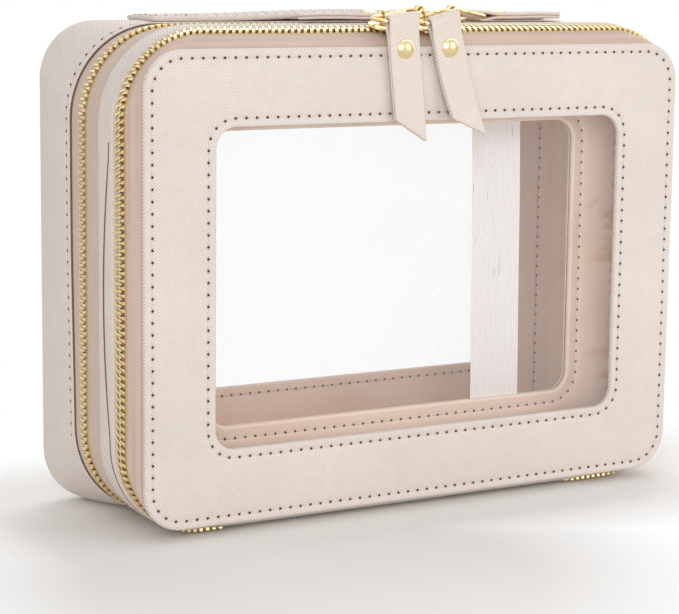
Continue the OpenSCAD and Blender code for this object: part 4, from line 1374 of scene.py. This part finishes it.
# %% Stitches of the carry strap
STRAP_SEAM_IN = 2.4
strap_threads, strap_pits = [], []
count = round((handle_length - 2 * STRAP_SEAM_IN) / STITCH)
step = (handle_length - 2 * STRAP_SEAM_IN) / count
for row in (-1, 1):
    y = handle_mid + row * (handle_width / 2 - STRAP_SEAM_IN)
    for k in range(count + 1):
        for x, places in ((step * (k - count / 2), strap_pits), (step * (k + 0.5 - count / 2), strap_threads)):
            if abs(x) <= handle_length / 2 - STRAP_SEAM_IN + 0.1:
                slope = math.atan2(handle_height(x + 0.5) - handle_height(x - 0.5), 1)
                top = Vector((x, y, handle_height(x) + HANDLE_THICK / 2 - 0.02)) * MM
                places.append(Matrix.Translation(top) @ Matrix.Rotation(-slope, 4, "Y"))
across = round((handle_width - 2 * STRAP_SEAM_IN) / STITCH)
step = (handle_width - 2 * STRAP_SEAM_IN) / across
for x in (STRAP_SEAM_IN - handle_length / 2, HANDLE_END - handle_length / 2 - 1,
          handle_length / 2 - HANDLE_END + 1, handle_length / 2 - STRAP_SEAM_IN):
    for k in range(across):
        y = handle_mid + step * (k + 0.5 - across / 2)
        top = Vector((x, y, handle_height(x) + HANDLE_THICK / 2 - 0.02)) * MM
        strap_threads.append(Matrix.Translation(top) @ Matrix.Rotation(math.radians(90), 4, "Z"))
        if k:
            low = top - Vector((0, step / 2 * MM, 0))
            strap_pits.append(Matrix.Translation(low))
sew("carry_strap", "back_body", strap_threads, strap_pits)

# %% [markdown]
# ## Floor, light and camera
#
# The case stands on a white studio floor. A large soft lamp on the right makes the lid bright and leaves
# the left side in soft shade, one in front shines in through the windows, and one high behind lights the
# top and throws the shadow forward. The white surroundings do the rest. Camera rays see the white
# background through the floor, but not close to the case nor in front of its left corner, where its shadow
# lies. So two distances are measured in the floor's material, one from the case's outline and one from the
# shadow's middle, and the smaller share of white wins.

# %% Floor
FLOOR_HALF = 3.0
CASE_HALF, SHADOW_MIDDLE = (0.12, 0.04, 0), (-0.08, -0.1, 0)
bm = bmesh.new()
bmesh.ops.create_grid(bm, x_segments=1, y_segments=1, size=FLOOR_HALF)
floor_mesh = bpy.data.meshes.new("studio_floor")
bm.to_mesh(floor_mesh)
bm.free()
floor = bpy.data.objects.new("studio_floor", floor_mesh)
bpy.context.scene.collection.objects.link(floor)
paper = bpy.data.materials.new("white studio paper")
paper.use_nodes = True
tree = paper.node_tree
tree.nodes.clear()
place = add(tree, "ShaderNodeTexCoord")
folded = add(tree, "ShaderNodeVectorMath", {0: place.outputs["Object"]}, operation="ABSOLUTE")
beyond = add(tree, "ShaderNodeVectorMath", {0: folded.outputs[0], 1: CASE_HALF}, operation="SUBTRACT")
outside = add(tree, "ShaderNodeVectorMath", {0: beyond.outputs[0]}, operation="MAXIMUM")
from_case = add(tree, "ShaderNodeVectorMath", {0: outside.outputs[0]}, operation="LENGTH")
case_fade = add(tree, "ShaderNodeMapRange", {
    "Value": from_case.outputs["Value"], "From Min": 0.02, "From Max": 0.065})
from_shadow = add(tree, "ShaderNodeVectorMath", {0: place.outputs["Object"], 1: SHADOW_MIDDLE},
                  operation="DISTANCE")
shadow_fade = add(tree, "ShaderNodeMapRange", {
    "Value": from_shadow.outputs["Value"], "From Min": 0.075, "From Max": 0.14})
fade = add(tree, "ShaderNodeMath", {0: case_fade.outputs[0], 1: shadow_fade.outputs[0]}, operation="MINIMUM")
rays = add(tree, "ShaderNodeLightPath")
seen = add(tree, "ShaderNodeMath", {0: rays.outputs["Is Camera Ray"], 1: rays.outputs["Is Transmission Ray"]},
           operation="MAXIMUM")
see_through = add(tree, "ShaderNodeMath", {0: seen.outputs[0], 1: fade.outputs[0]}, operation="MULTIPLY")
matt = add(tree, "ShaderNodeBsdfDiffuse", {"Color": linear("#F6F4F2")})
clear = add(tree, "ShaderNodeBsdfTransparent")
mixed = add(tree, "ShaderNodeMixShader", {0: see_through.outputs[0], 1: matt.outputs[0], 2: clear.outputs[0]})
add(tree, "ShaderNodeOutputMaterial", {"Surface": mixed.outputs[0]})
floor_mesh.materials.append(paper)

# %% World and lamps
scene = bpy.context.scene
AMBIENT = 0.62
studio = bpy.data.worlds.new("white studio")
studio.use_nodes = True
tree = studio.node_tree
tree.nodes.clear()
rays = add(tree, "ShaderNodeLightPath")
seen = add(tree, "ShaderNodeMath", {0: rays.outputs["Is Camera Ray"], 1: rays.outputs["Is Glossy Ray"]},
           operation="MAXIMUM")
seen = add(tree, "ShaderNodeMath", {0: seen.outputs[0], 1: rays.outputs["Is Transmission Ray"]},
           operation="MAXIMUM")
soft = add(tree, "ShaderNodeBackground", {"Color": linear("#FFFFFF"), "Strength": AMBIENT})
bright = add(tree, "ShaderNodeBackground", {"Color": linear("#FFFFFF"), "Strength": 1.0})
mixed = add(tree, "ShaderNodeMixShader", {0: seen.outputs[0], 1: soft.outputs[0], 2: bright.outputs[0]})
add(tree, "ShaderNodeOutputWorld", {"Surface": mixed.outputs[0]})
scene.world = studio

CENTRE = Vector((0, 0, 0.09))
for name, position, size, power in (
    ("key_softbox", (0.9, -1.1, 0.5), 0.9, 4.6),
    ("front_fill", (-1.0, -1.7, 0.6), 1.4, 13.5),
    ("top_softbox", (0.5, 0.7, 1.3), 1.0, 7.0),
):
    lamp = bpy.data.lights.new(name, "AREA")
    lamp.size, lamp.energy = size, power
    holder = bpy.data.objects.new(name, lamp)
    scene.collection.objects.link(holder)
    holder.location = position
    holder.rotation_euler = (CENTRE - Vector(position)).to_track_quat("-Z", "Y").to_euler()

# %% Camera
YAW, PITCH_DOWN, ROLL_RIGHT = 30.70, 9.15, 0.67
lens = bpy.data.cameras.new("camera")
lens.lens, lens.sensor_width = 114.58, 36.0
lens.clip_start, lens.clip_end = 0.01, 50.0
camera = bpy.data.objects.new("camera", lens)
scene.collection.objects.link(camera)
camera.matrix_world = (
    Matrix.Translation((-0.4265, -0.6963, 0.2016))
    @ Matrix.Rotation(math.radians(-YAW), 4, "Z")
    @ Matrix.Rotation(math.radians(90 - PITCH_DOWN), 4, "X")
    @ Matrix.Rotation(math.radians(ROLL_RIGHT), 4, "Z"))
scene.camera = camera
scene.view_settings.view_transform = "Standard"
